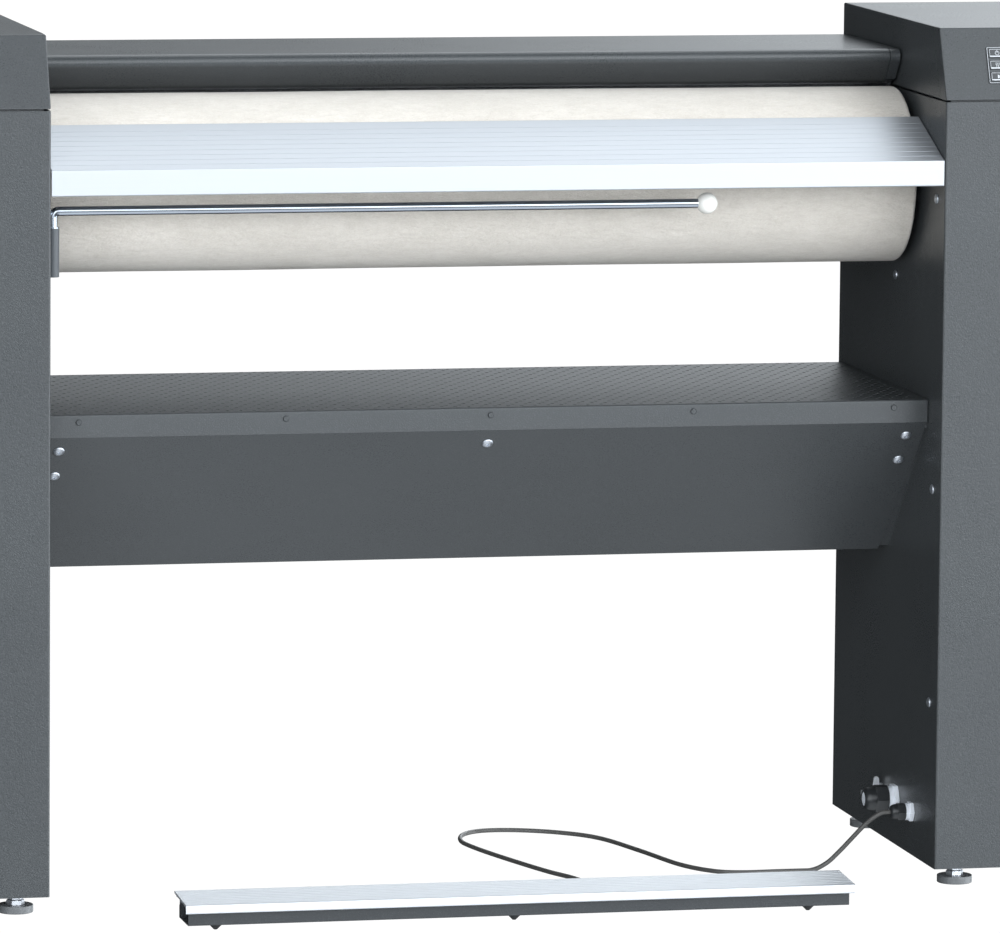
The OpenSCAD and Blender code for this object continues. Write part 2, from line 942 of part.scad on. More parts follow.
module gear_motor() {
    color("gray") at_side(-1) translate([gearbox_u, roller_y, roller_z]) difference() {
        union() {
            translate([0, -gearbox_h / 2, -gearbox_h / 2]) along_x(gearbox_w)
                rounded_2d(gearbox_h, gearbox_h, gearbox_corner_r);
            translate([gearbox_w / 2 + motor_r / 2, motor_back, -gearbox_h / 2 - motor_l]) motor();
        }
        translate([-over, 0, 0]) bar_x(shaft_r + play, gearbox_w + 2 * over);
    }
}

// The motor hangs below the gearbox, with its fan cowl at the bottom
module motor() {
    difference() {
        cylinder(r = motor_r, h = motor_l + gearbox_corner_r);
        for (z = [motor_cowl:motor_fin_pitch:motor_l - motor_fin_pitch])
            translate([0, 0, z]) difference() {
                cylinder(r = motor_r + over, h = motor_fin_pitch - motor_fin_t);
                translate([0, 0, -over])
                    cylinder(r = motor_r - motor_fin_depth, h = motor_fin_pitch - motor_fin_t + 2 * over);
            }
    }
}

// A strap from the gearbox to a post on the side frame, which takes the drive's torque
module torque_arm() {
    strap_top = gearbox_h / 2 - gearbox_boss_r;
    color("dimgray") at_side(-1) translate([frame_u, roller_y, roller_z - torque_post_drop]) {
        bar_x(torque_post_r, gearbox_u - frame_u);
        translate([gearbox_u - frame_u - torque_strap_t, -torque_strap_w / 2, -torque_strap_w / 2])
            cube([torque_strap_t, torque_strap_w, torque_post_drop - gearbox_boss_r + torque_strap_w / 2]);
    }
}

// Heated pan

module heated_pan() {
    l = gap_w - 2 * cap_u;
    color("silver") across(l) translate([pan_y, pan_z]) difference() {
        union() {
            sector_2d(pan_r, pan_r + pan_t, pan_from, pan_to);
            for (a = rib_angles)
                sector_2d(pan_r + pan_t / 2, rib_r, a - rib_half, a + rib_half);
        }
        for (a = rib_angles)
            translate(turn(a, heater_ring_r)) circle(d = heater_d + 2 * play);
    }
}

module heating_elements() {
    l = roller_l;
    color("darkgray") for (a = rib_angles)
        placed() translate(concat([-l / 2], [pan_y, pan_z] + turn(a, heater_ring_r))) bar_x(heater_d / 2, l);
}

module pan_insulation() {
    color("gold") across(gap_w - 2 * cap_u) translate([pan_y, pan_z])
        sector_2d(insulation_r, insulation_r + insulation_t, pan_from + insulation_cut, pan_to - insulation_cut);
}

// The nose and face of the guard, from the seam on top to the lip, drawn inset from the outer surface
function guard_line(inset) = concat(
    [[seam_y - seam - guard_t / 2, cover_top - inset]],
    arc([nose_y, nose_z], nose_r - inset, 90, 180 + 90 - face_angle, nose_steps),
    [[face_y, face_z] + turn(90 - (face_angle + lip_slope) / 2, inset / cos((face_angle - lip_slope) / 2)),
        [lip_y, lip_z + inset]]
);

// The cover from the seam over the back to its lower front edge
function cover_line(inset) = concat(
    [[seam_y + seam + cover_t / 2, cover_top - inset]],
    arc([cover_back - cover_corner_r, cover_top - cover_corner_r], cover_corner_r - inset, 90, 0, corner_steps),
    arc([cover_back - cover_corner_r, cover_bottom + cover_corner_r], cover_corner_r - inset, 0, -90, corner_steps),
    [[cover_bottom_y + inset, cover_bottom + inset], [cover_bottom_y + inset, cover_bottom + inset + nose_r]]
);

module pan_cover() {
    color("darkslategray") across(gap_w - 2 * cap_inner_u) strip_2d(cover_line(cover_t / 2), cover_t);
}

// The whole outline of guard and cover, closed through the pan's centre
module cap_2d(inset) {
    polygon(concat([[pan_y, pan_z]], reversed(guard_line(inset)), cover_line(inset)));
}

// The hole round the roller, wider behind so that the caps stay clear of the pan's sole
module pan_hole_2d() {
    translate([pan_y, pan_z]) {
        circle(pan_r + play, $fn = 96);
        sector_2d(pan_r, pan_r + cap_clear, pan_from, pan_to - insulation_cut);
    }
}

// An end cap: a plate that carries pan, guard and arm, with a rim flush with the cover
module pan_cover_cap() {
    difference() {
        union() {
            translate([-cap_u, 0, 0]) along_x(cap_t) difference() {
                cap_2d(0);
                pan_hole_2d();
            }
            translate([-cap_inner_u, 0, 0]) along_x(cap_w) difference() {
                cap_2d(0);
                cap_2d(cap_rim_t);
                pan_hole_2d();
            }
        }
        translate([-cap_u - over, hinge_y, hinge_z]) bar_x(hinge_pin_r + play, cap_t + 2 * over);
    }
}

module pan_cover_caps() {
    color("darkslategray") both_sides() pan_cover_cap();
}

// The guard hangs on a pin at each end, behind its nose
module finger_guard() {
    l = gap_w - 2 * (cap_inner_u + seam);
    color("darkslategray") {
        across(l) strip_2d(guard_line(guard_t / 2), guard_t);
        for (side = [-1, 1])
            at_side(side) {
                translate([-cap_inner_u - seam - guard_lug_t, 0, 0]) along_x(guard_lug_t)
                    intersection() {
                        polygon(guard_line(guard_t / 2));
                        translate([hinge_y, hinge_z]) circle(nose_r + guard_lug_r);
                    }
                translate([-cap_inner_u - seam - guard_lug_t, hinge_y, hinge_z])
                    bar_x(hinge_pin_r, cap_inner_u + seam + guard_lug_t - cap_gap - seat_gap);
                translate([-cap_inner_u - seam - guard_lug_t, hinge_y, hinge_z]) bar_x(guard_lug_r, guard_lug_t);
            }
    }
}

// An arm from the pivot to the pan's end, with its two bosses and, on the left, the actuator's lever
module pan_arm(side) {
    p = [pivot_y, pivot_z];
    b1 = [boss_y, boss_z1];
    b2 = [boss_y, boss_z2];
    lever = [pivot_y - lever_l, pivot_z];
    difference() {
        union() {
            translate([arm_u, 0, 0]) along_x(arm_t) difference() {
                union() {
                    link_2d(p, b1, arm_hub_r, arm_end_r);
                    link_2d(b1, b2, arm_end_r, arm_end_r);
                    if (side < 0)
                        link_2d(p, lever, arm_hub_r, lever_end_r);
                }
                if (side < 0)
                    for (y = [-fork_slot, fork_slot])
                        translate(lever + [y, 0]) circle(fork_pin_r + 2 * play);
                if (side < 0)
                    translate(lever - [fork_slot, fork_pin_r + 2 * play])
                        square([2 * fork_slot, 2 * (fork_pin_r + 2 * play)]);
            }
            for (b = [b1, b2])
                translate([-cap_gap, b[0], b[1]]) bar_x(boss_r, cap_gap + arm_u + arm_t);
        }
        translate([arm_u - over, pivot_y, pivot_z]) bar_x(pivot_r + play, arm_t + 2 * over);
    }
}

module left_pan_arm() {
    color("slategray") at_side(-1) pan_arm(-1);
}

module right_pan_arm() {
    color("slategray") at_side(1) pan_arm(1);
}

module pan_pivot_pins() {
    cap_from = arm_u + arm_t + seat_gap;
    color("silver") both_sides() translate([0, pivot_y, pivot_z]) {
        translate([sheet_t, 0, 0]) bar_x(pivot_r, cap_from + pivot_cap_t - sheet_t);
        translate([frame_u, 0, 0]) bar_x(pivot_collar_r, arm_u - frame_u - seat_gap);
        translate([cap_from, 0, 0]) bar_x(pivot_collar_r, pivot_cap_t);
    }
}

// The spindle drive that pulls the lever down and so presses the pan on the roller
module pan_actuator() {
    head_top = pivot_z - rod_l + actuator_head_h;
    u = arm_u + arm_t / 2;
    color("gray") at_side(-1) translate([u, pivot_y - lever_l, head_top]) difference() {
        union() {
            translate([-actuator_w / 2, -actuator_w / 2, -actuator_h - actuator_head_h])
                linear_extrude(actuator_h) rounded_2d(actuator_w, actuator_w, boss_r);
            translate([-actuator_head_w / 2, -actuator_head_w / 2, -actuator_head_h - over])
                linear_extrude(actuator_head_h + over) rounded_2d(actuator_head_w, actuator_head_w, boss_r);
            for (z = [-actuator_h, -2 * actuator_head_h - bracket_h])
                translate([frame_u - u, -actuator_head_w / 2, z]) cube([u - frame_u, actuator_head_w, bracket_h]);
        }
        translate([0, 0, -actuator_head_h - bracket_h])
            cylinder(r = rod_r + play, h = actuator_head_h + bracket_h + over);
    }
}

module actuator_rod() {
    u = arm_u + arm_t / 2;
    fork_w = arm_t + 2 * seat_gap + 2 * fork_wall;
    color("silver") at_side(-1) translate([u, pivot_y - lever_l, pivot_z]) {
        translate([0, 0, -rod_l]) cylinder(r = rod_r, h = rod_l - fork_below + over);
        difference() {
            translate([-fork_w / 2, -fork_d / 2, -fork_below]) cube([fork_w, fork_d, fork_below + fork_above]);
            translate([-arm_t / 2 - seat_gap, -fork_d, -fork_below + fork_wall])
                cube([arm_t + 2 * seat_gap, 2 * fork_d, fork_below + fork_above]);
        }
        translate([-fork_w / 2, 0, 0]) bar_x(fork_pin_r, fork_w);
    }
}

// Feed board

// A point on the board's top, at a distance behind its front edge and below its surface
function on_board(back, below) = [
    board_y0 + back * cos(board_slope) + below * sin(board_slope),
    board_z0 + back * sin(board_slope) - below * cos(board_slope)
];

module feed_board() {
    half = board_t / 2;
    color("lightsteelblue") across(gap_w - 2 * board_end_gap) difference() {
        union() {
            strip_2d([on_board(board_l - half, half), on_board(half, half)], board_t);
            strip_2d([on_board(half, half), [on_board(half, half)[0], board_z0 - board_flange + half]], board_t);
        }
        for (i = [1:groove_count])
            translate(on_board(i * groove_pitch, groove_d)) rotate(board_slope) square([groove_w, 2 * groove_d]);
    }
}

// An angle at each end holds the board to the column
module feed_board_brackets() {
    a = on_board(board_bracket_from, board_t + board_bracket_t / 2);
    b = on_board(board_bracket_from + board_bracket_l, board_t + board_bracket_t / 2);
    color("dimgray") both_sides() {
        translate([-board_bracket_w, 0, 0]) along_x(board_bracket_w) strip_2d([a, b], board_bracket_t);
        translate([-board_bracket_t, 0, 0]) along_x(board_bracket_t)
            polygon([a, b, b - [0, board_bracket_drop], a - [0, board_bracket_drop]]);
    }
}

// Laundry rail

// The rod turns in the sleeve, rises to its bend and runs along the front of the roller
module laundry_rail() {
    color("silver") at_side(-1) mirror([1, 0, 0]) translate([rail_u, rail_y, 0]) {
        translate([0, 0, sleeve_z + rail_foot]) cylinder(r = rail_r, h = rail_z - rail_bend_r - sleeve_z - rail_foot);
        translate([0, 0, sleeve_z + sleeve_h + seat_gap]) cylinder(r = collar_r, h = collar_h);
        translate([rail_bend_r, 0, rail_z - rail_bend_r]) rotate([90, 0, 0])
            rotate([0, 0, 90]) rotate_extrude(angle = 90) translate([rail_bend_r, 0]) circle(rail_r);
        translate([rail_bend_r, 0, rail_z]) bar_x(rail_r, rail_l - rail_bend_r);
    }
}

module rail_ball() {
    color("white") at_side(-1) mirror([1, 0, 0]) translate([rail_u + rail_l, rail_y, rail_z]) rotate([0, 90, 0])
        rotate_extrude() difference() {
            circle(d = ball_d);
            translate([-ball_d, -ball_d]) square([ball_d, 2 * ball_d]);
            translate([0, -ball_d]) square([rail_r + play, ball_d]);
        }
}

module rail_sleeve() {
    r = rail_r + sleeve_wall;
    color("gray") at_side(-1) mirror([1, 0, 0]) translate([rail_u, rail_y, sleeve_z]) difference() {
        union() {
            cylinder(r = r, h = sleeve_h);
            translate([-rail_u, -sleeve_lug_w / 2, 0]) cube([rail_u, sleeve_lug_w, sleeve_h]);
        }
        translate([0, 0, -over]) cylinder(r = rail_r + play, h = sleeve_h + 2 * over);
    }
}

// Laundry tray

module perforation() {
    w = gap_w - 2 * tray_margin;
    d = tray_back - tray_y - 2 * tray_margin;
    row = hole_pitch * sin(60);
    for (j = [0:floor(d / row)])
        for (i = [0:floor((w - (j % 2) * hole_pitch / 2) / hole_pitch)])
            translate([-w / 2 + (i + (j % 2) / 2) * hole_pitch, tray_y + tray_margin + j * row])
                circle(d = hole_d, $fn = 16);
}

module laundry_tray() {
    l = gap_w - 2 * tray_end_gap;
    half = tray_t / 2;
    color("darkslategray") {
        placed() translate([0, 0, tray_z - tray_t]) linear_extrude(tray_t) difference() {
            translate([-l / 2, tray_y + half]) square([l, tray_back - tray_y - tray_t]);
            perforation();
        }
        across(l) strip_2d([
            [tray_y + lip_fold, tray_z - half], [tray_y + half, tray_z - lip_fold],
            [tray_y + half, tray_z - tray_lip + half]
        ], tray_t);
        across(l) strip_2d([
            [tray_back - half, tray_z - half], [tray_back - half, tray_z - tray_back_flange]
        ], tray_t);
    }
}

// A point on the middle of the apron's slope, and one at a distance behind it
function on_slope_line(share, behind) = [
    apron_y + apron_t / 2 + share * apron_back + behind * sin(apron_slope),
    apron_top - share * apron_h + behind * cos(apron_slope)
];

// The apron: a top flange behind the tray's lip, the slope, and a bottom flange turned back.
// Its ends draw in towards the bottom.
module tray_apron() {
    l = gap_w - 2 * apron_end;
    bottom = on_slope_line(1, 0);
    color("darkslategray") difference() {
        across(l) strip_2d([
            [apron_y + apron_t / 2, apron_top + tray_lip - tray_t - apron_flange],
            on_slope_line(0, 0), bottom, bottom + [apron_flange, 0]
        ], apron_t);
        for (side = [-1, 1])
            at_side(side) translate([0, col_d, 0]) rotate([90, 0, 0]) linear_extrude(col_d) polygon([
                [over, apron_top - apron_taper_share * apron_h],
                [-apron_end, apron_top - apron_taper_share * apron_h],
                [-apron_end - apron_taper, apron_top - apron_h - apron_t],
                [over, apron_top - apron_h - apron_t]
            ]);
    }
}

// A bracket at each column carries tray and apron, with a lip behind the apron's slope
module tray_brackets() {
    top = tray_z - tray_t;
    t = tray_bracket_t;
    front = tray_y + tray_t + apron_t;
    lip_start = on_slope_line(bracket_lip_shares[0], (apron_t + t) / 2);
    lip_end = on_slope_line(bracket_lip_shares[1], (apron_t + t) / 2);
    color("darkslategray") both_sides() {
        translate([-t, 0, 0]) along_x(t) polygon([
            [front + t, top], [tray_back - tray_t, top], [tray_back - tray_t, top - beam_w],
            lip_end, lip_start, [front + t, lip_start[1]]
        ]);
        translate([-tray_bracket_lip, 0, 0]) along_x(tray_bracket_lip) strip_2d([lip_start, lip_end], t);
        translate([-tray_bracket_lip, front + t, top - t]) cube([tray_bracket_lip, tray_back - tray_t - front - t, t]);
    }
}

module tray_rivets() {
    color("darkslategray") placed() for (share = rivet_shares)
        translate([share * gap_w, tray_y, tray_z - rivet_drop]) rotate([90, 0, 0]) button(rivet_d, rivet_h);
}

// Controls

// The three keys' places on the slope, from the lowest
module at_key(i) {
    at_side(1) on_slope() translate([key_u, key_s0 + i * key_pitch, 0]) children();
}

module panel_cutouts() {
    on_slope() translate([0, 0, -sheet_t - over]) linear_extrude(sheet_t + panel_t + 2 * over) {
        for (i = [0:2])
            translate([key_u - key_gap, key_s0 + i * key_pitch - key_gap])
                square([key_w + 2 * key_gap, key_h + 2 * key_gap]);
        translate([panel_u + panel_w - window_w - 2 * key_flange, panel_s + (panel_h - window_h + key_flange) / 2])
            square([window_w - key_flange, window_h - key_flange]);
    }
}

module control_panel() {
    color("dimgray") at_side(1) difference() {
        on_slope() translate([panel_u, panel_s, 0]) {
            linear_extrude(panel_t) rounded_2d(panel_w, panel_h, panel_t);
            linear_extrude(panel_t + panel_rim / 2) difference() {
                rounded_2d(panel_w, panel_h, panel_t);
                translate([panel_rim, panel_rim]) square([panel_w - 2 * panel_rim, panel_h - 2 * panel_rim]);
            }
        }
        panel_cutouts();
    }
}

// A key: its cap in the panel's opening, a flange that holds it behind the sheet, and a plunger
module key(i) {
    flange_top = -sheet_t - seat_gap;
    at_key(i) {
        translate([0, 0, flange_top - key_flange_t])
            linear_extrude(panel_t + key_proud - flange_top + key_flange_t)
                rounded_2d(key_w, key_h, key_proud);
        translate([-key_flange, -key_flange, flange_top - key_flange_t])
            cube([key_w + 2 * key_flange, key_h + 2 * key_flange, key_flange_t]);
    }
}

module power_key() {
    color("gray") key(2);
}

module heat_key() {
    color("gray") key(1);
}

module start_key() {
    color("gray") key(0);
}

module display_window() {
    color("black") at_side(1) on_slope()
        translate([panel_u + panel_w - window_w - 2.5 * key_flange, panel_s + (panel_h - window_h) / 2, panel_t])
            linear_extrude(window_t) rounded_2d(window_w, window_h, window_t);
}

// The circuit board on spacers under the hood, with a switch behind each key
module control_board() {
    flange_low = -sheet_t - seat_gap - key_flange_t;
    top = -board_depth;
    w = panel_w - 2 * board_margin;
    color("green") at_side(1) on_slope() {
        translate([panel_u, panel_s, top - board_thick]) cube([panel_w, panel_h, board_thick]);
        for (i = [0:2])
            translate([key_u + (key_w - switch_w) / 2, key_s0 + i * key_pitch + (key_h - switch_w) / 2, top - play])
                cube([switch_w, switch_w, flange_low - key_travel - seat_gap - top + play]);
        for (s = [panel_s - spacer_r, panel_s + panel_h + spacer_r], u = [panel_u + board_margin, panel_u + w])
            translate([u, s, 0]) {
                translate([0, 0, top - board_thick]) cylinder(r = spacer_r, h = -sheet_t - top + board_thick);
                translate([-spacer_r, -spacer_r, top - board_thick]) cube([2 * spacer_r, 2 * spacer_r, board_thick]);
            }
    }
}

// Mains terminals on the right side frame
module power_terminals() {
    color("beige") at_side(1) translate([frame_u, terminal_y - terminal_w / 2, terminal_z]) difference() {
        cube([terminal_d, terminal_w, terminal_h]);
        for (y = [terminal_pitch / 2:terminal_pitch:terminal_w - terminal_slot_d])
            translate([terminal_d - terminal_slot_d, y, -over])
                cube([terminal_slot_d + over, terminal_slot_d, terminal_h + 2 * over]);
    }
}

// Foot bar

module along_bar(l) {
    placed() translate([bar_x - l / 2, 0, 0]) along_x(l) children();
}

function bar_point(back, z) = [bar_front - bar_reach + back, z];

module at_lugs() {
    for (x = [bar_x - bar_l / 2, bar_x - lug_w / 2, bar_x + bar_l / 2 - lug_w])
        translate([x, 0, 0]) children();
}

// A channel on the floor with three lugs for the hinge pin
module foot_bar_base() {
    half = bar_wall / 2;
    color("darkslategray") difference() {
        union() {
            along_bar(bar_l) strip_2d([
                bar_point(half, bar_z + bar_front_h - half), bar_point(half, bar_z + half),
                bar_point(bar_d - half, bar_z + half), bar_point(bar_d - half, bar_z + bar_rear_h)
            ], bar_wall);
            placed() at_lugs() along_x(lug_w) {
                translate([pin_y, pin_z]) circle(lug_r);
                translate([pin_y - lug_r, bar_z + half]) square([2 * lug_r, pin_z - bar_z - half]);
            }
        }
        placed() at_lugs() translate([-over, pin_y, pin_z]) bar_x(pin_r + play, lug_w + 2 * over);
    }
}

// The tread: a grooved extrusion with a front flange and a barrel round the hinge pin
module foot_bar_tread() {
    front = -bar_reach;
    slope = atan2(tread_rise, tread_d);
    half = tread_t / 2;
    top_front = [front + half, tread_z - half];
    top_back = [front + tread_d - half, tread_z - half + tread_rise];
    web_top = tread_z - half + (pin_y - front) * tread_rise / tread_d;
    color("lightsteelblue") difference() {
        along_bar(tread_l) difference() {
            union() {
                strip_2d([top_front, top_back], tread_t);
                strip_2d([top_front, [front + half, tread_z - tread_flange + half]], tread_t);
                translate([pin_y, pin_z]) circle(barrel_r);
                translate([pin_y - half, pin_z]) square([tread_t, web_top - pin_z]);
            }
            translate([pin_y, pin_z]) circle(pin_r + play);
            for (i = [1:tread_groove_count])
                translate([front, tread_z]) rotate(slope) translate([i * tread_groove_pitch, -groove_d])
                    square([groove_w, 2 * groove_d]);
        }
        placed() at_lugs() translate([-lug_gap, pin_y - 2 * lug_r, pin_z - 2 * lug_r])
            cube([lug_w + 2 * lug_gap, 4 * lug_r, 2 * lug_r + lug_r + lug_gap]);
        placed() for (x = [bar_x - tread_l / 2 - over, bar_x + bar_l / 2 - lug_gap])
            translate([x, pin_y - 2 * lug_r, pin_z - 2 * lug_r])
                cube([(tread_l - bar_l) / 2 + over + lug_gap, 4 * lug_r, 2 * lug_r + lug_r + lug_gap]);
    }
}

module foot_bar_pin() {
    color("silver") placed() translate([bar_x - bar_l / 2, pin_y, pin_z]) bar_x(pin_r, bar_l);
}

// Bent leaf springs hold the tread up
module foot_bar_springs() {
    half = spring_t / 2;
    floor_z = bar_z + bar_wall + half;
    front = bar_wall + spring_w / 2;
    tread_low = tread_z - tread_t + (front + spring_w / 2 + spring_rise_run + bar_front) * tread_rise / tread_d;
    color("silver") for (side = [-1, 1])
        placed() translate([bar_x + side * spring_share * bar_l - spring_w / 2, 0, 0]) along_x(spring_w) strip_2d([
            bar_point(front, floor_z), bar_point(front + spring_w / 2, floor_z),
            bar_point(front + spring_w / 2 + spring_rise_run, tread_low - half - seat_gap)
        ], spring_t);
}

module foot_switch() {
    color("black") placed() translate([bar_x + switch_x, bar_front - bar_reach + bar_wall + seat_gap, bar_z + bar_wall])
        cube([switch_l, switch_d, switch_h]);
}

module foot_bar_feet() {
    color("black") placed() for (side = [-1, 0, 1])
        translate([bar_x + side * bar_foot_share * bar_l, bar_front - bar_reach + bar_foot_back, 0]) {
            cylinder(r1 = bar_foot_flat, r2 = bar_foot_r, h = bar_z / 2);
            translate([0, 0, bar_z / 2]) cylinder(r = bar_foot_r, h = bar_z / 2);
        }
}

// Lead, glands and earth terminal

// A point of a smooth curve through the route's points (Catmull-Rom)
function spline(a, b, c, d, t) = 0.5 * (2 * b + (c - a) * t + (2 * a - 5 * b + 4 * c - d) * t * t
    + (3 * b - a - 3 * c + d) * t * t * t);

function on_floor(p) = [p[0], p[1], max(p[2], lead_r)];

function lead_curve(p) = concat([for (i = [0:len(p) - 2]) for (k = [0:lead_steps - 1])
    on_floor(spline(p[max(i - 1, 0)], p[i], p[i + 1], p[min(i + 2, len(p) - 1)], k / lead_steps))],
    [p[len(p) - 1]]);

function unit(v) = v / norm(v);

// The direction along the curve, square to what it meets at both ends
function heading(c, i) = i == 0 ? [-1, 0, 0] : i == len(c) - 1 ? [0, -1, 0] : unit(c[i + 1] - c[i - 1]);

function lead_ring(c, i) =
    let (along = heading(c, i), across_it = unit(cross(along, [0, 0, 1])), upward = cross(across_it, along))
    [for (k = [0:lead_sides - 1])
        let (a = (k + 0.5) * 360 / lead_sides) c[i] + lead_r * (cos(a) * across_it + sin(a) * upward)];

module foot_lead() {
    c = lead_curve(lead_points);
    n = len(c);
    m = lead_sides;
    skin = [for (i = [0:n - 2]) for (k = [0:m - 1])
        let (p = i * m + k, q = i * m + (k + 1) % m) each [[p, q, q + m], [p, q + m, p + m]]];
    ends = concat([[for (k = [m - 1:-1:0]) k]], [[for (k = [0:m - 1]) (n - 1) * m + k]]);
    color("dimgray") placed()
        polyhedron(points = [for (i = [0:n - 1]) each lead_ring(c, i)], faces = concat(skin, ends));
}

// A gland: a hexagonal collar on the column, and a ribbed body that closes round the cable
module gland(d, l, af, collar_l, bore_r, bore_l) {
    rotate([0, -90, 0]) difference() {
        union() {
            hex(af, collar_l);
            translate([0, 0, collar_l]) cylinder(d = d, h = l * 0.75);
            translate([0, 0, collar_l + l * 0.75]) cylinder(d1 = d, d2 = d * 0.72, h = l * 0.25);
        }
        translate([0, 0, collar_l + l - bore_l]) cylinder(r = bore_r, h = bore_l + over);
    }
}

module lead_gland() {
    color("black") at_side(1) translate([0, lead_y, lead_z])
        gland(lead_gland_d, lead_gland_l, lead_collar_af, lead_collar_l, 0, 0);
}

module mains_gland() {
    color("black") at_side(1) translate([0, mains_y, mains_z])
        gland(mains_gland_d, mains_l, mains_collar_af, mains_collar_l, mains_bore_r, mains_bore_l);
}

// A stud with a wing nut for the bonding lead
module earth_terminal() {
    color("silver") at_side(1) translate([0, earth_y, earth_z]) rotate([0, -90, 0]) {
        cylinder(r = earth_base_r, h = earth_base_h);
        cylinder(r = stud_r, h = stud_l);
        translate([0, 0, earth_base_h]) cylinder(r = wing_hub_r, h = wing_hub_l);
        for (side = [-1, 1])
            translate([0, 0, earth_base_h]) rotate([90, 0, 0]) translate([0, 0, -wing_t / 2]) linear_extrude(wing_t)
                link_2d([0, wing_hub_l / 2], [side * wing_out, wing_hub_l / 2], wing_hub_l / 2, wing_r);
    }
}

left_side_frame();
right_side_frame();
cross_beam();
base_frames();
levelling_feet();
foot_locknuts();
left_casing();
right_casing();
left_side_cover();
right_side_cover();
left_back_cover();
right_back_cover();
left_hood();
right_hood();
panel_screws();
roller_bearings();
roller_tube();
roller_end_discs();
roller_shaft();
roller_padding();
roller_cloth();
gear_motor();
torque_arm();
heated_pan();
heating_elements();
pan_insulation();
pan_cover();
pan_cover_caps();
left_pan_arm();
right_pan_arm();
pan_pivot_pins();
finger_guard();
pan_actuator();
actuator_rod();
feed_board();
feed_board_brackets();
laundry_tray();
tray_apron();
tray_brackets();
tray_rivets();
laundry_rail();
rail_ball();
rail_sleeve();
control_panel();
power_key();
heat_key();
start_key();
display_window();
control_board();
power_terminals();
foot_bar_base();
foot_bar_tread();
foot_bar_pin();
foot_bar_springs();
foot_switch();
foot_bar_feet();
foot_lead();
lead_gland();
mains_gland();
earth_terminal();
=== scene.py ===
"""Looks of a flatwork ironer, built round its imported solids: camera, light, finishes and fine pieces."""

import json
import math

import bmesh
import bpy
import numpy as np
from mathutils import Matrix

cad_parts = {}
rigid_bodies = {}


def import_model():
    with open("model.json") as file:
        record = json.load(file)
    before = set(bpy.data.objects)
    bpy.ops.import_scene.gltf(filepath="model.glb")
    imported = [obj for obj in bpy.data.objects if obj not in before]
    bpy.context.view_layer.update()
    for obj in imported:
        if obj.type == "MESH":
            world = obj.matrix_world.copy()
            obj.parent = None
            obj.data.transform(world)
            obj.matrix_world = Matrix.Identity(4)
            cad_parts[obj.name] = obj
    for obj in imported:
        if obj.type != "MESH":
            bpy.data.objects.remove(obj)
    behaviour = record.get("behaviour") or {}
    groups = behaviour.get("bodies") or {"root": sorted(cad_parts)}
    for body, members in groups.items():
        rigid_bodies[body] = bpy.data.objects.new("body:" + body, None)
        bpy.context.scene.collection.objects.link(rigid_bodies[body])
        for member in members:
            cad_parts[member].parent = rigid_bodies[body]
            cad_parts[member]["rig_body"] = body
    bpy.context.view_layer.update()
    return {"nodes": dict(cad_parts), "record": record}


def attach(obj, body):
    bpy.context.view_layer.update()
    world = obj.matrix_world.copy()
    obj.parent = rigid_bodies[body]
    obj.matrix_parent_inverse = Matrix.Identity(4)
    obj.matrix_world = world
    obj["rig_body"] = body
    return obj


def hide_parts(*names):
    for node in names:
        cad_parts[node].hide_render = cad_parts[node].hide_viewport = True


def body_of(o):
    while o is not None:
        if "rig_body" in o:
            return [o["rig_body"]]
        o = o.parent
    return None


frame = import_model()


# Camera
# A long lens, low in front of the left column and a little above the machine. It is turned to
# the right, tipped down and hardly rolled, so the right column shows its inner side.
stand = np.array([-2.0412, -9.1815, 1.6965])
yaw = 0.222138
pitch = 0.126897
roll = 0.008830
ahead = np.array([math.sin(yaw) * math.cos(pitch), math.cos(yaw) * math.cos(pitch), -math.sin(pitch)])
level = np.array([math.cos(yaw), -math.sin(yaw), 0.0])
upright = np.cross(level, ahead)
right = math.cos(roll) * level + math.sin(roll) * upright
top = math.cos(roll) * upright - math.sin(roll) * level
lens = bpy.data.cameras.new("camera")
lens.lens = 288.08
lens.sensor_width = 36.0
lens.clip_end = 200.0
camera = bpy.data.objects.new("camera", lens)
pose = np.vstack([np.column_stack([right, top, -ahead, stand]), [0, 0, 0, 1]])
camera.matrix_world = Matrix(pose.tolist())
bpy.context.scene.collection.objects.link(camera)
bpy.context.scene.camera = camera


# Studio light
# The machine stands in a white studio. The light comes from round glows: three in front, which
# fade towards the floor, one overhead, three behind, two below and three at the sides.
class Signal:
    """A value that varies over a surface. Plain arithmetic on it adds the shader's own maths."""

    def __init__(self, network, socket):
        self.network = network
        self.socket = socket

    def maths(self, operation, other, swap=False):
        """Adds a maths node for this value and another one, which swap puts first."""
        first, second = (other, self) if swap else (self, other)
        return self.network.add("ShaderNodeMath", {"operation": operation}, {0: first, 1: second})

    def __add__(self, other):
        return self.maths("ADD", other)

    def __sub__(self, other):
        return self.maths("SUBTRACT", other)

    def __rsub__(self, other):
        return self.maths("SUBTRACT", other, swap=True)

    def __mul__(self, other):
        return self.maths("MULTIPLY", other)

    def __gt__(self, other):
        return self.maths("GREATER_THAN", other)

    __radd__, __rmul__ = __add__, __mul__


class Network:
    """The nodes of one shader."""

    def __init__(self, tree):
        self.tree = tree

    def add(self, kind, settings, values, out=0):
        """Adds a node: first its settings, then the numbers or signals of its sockets."""
        node = self.tree.nodes.new(kind)
        for key, value in settings.items():
            setattr(node, key, value)
        for socket, value in values.items():
            if isinstance(value, Signal):
                self.tree.links.new(value.socket, node.inputs[socket])
            else:
                node.inputs[socket].default_value = value
        return Signal(self, node.outputs[out]) if node.outputs else None


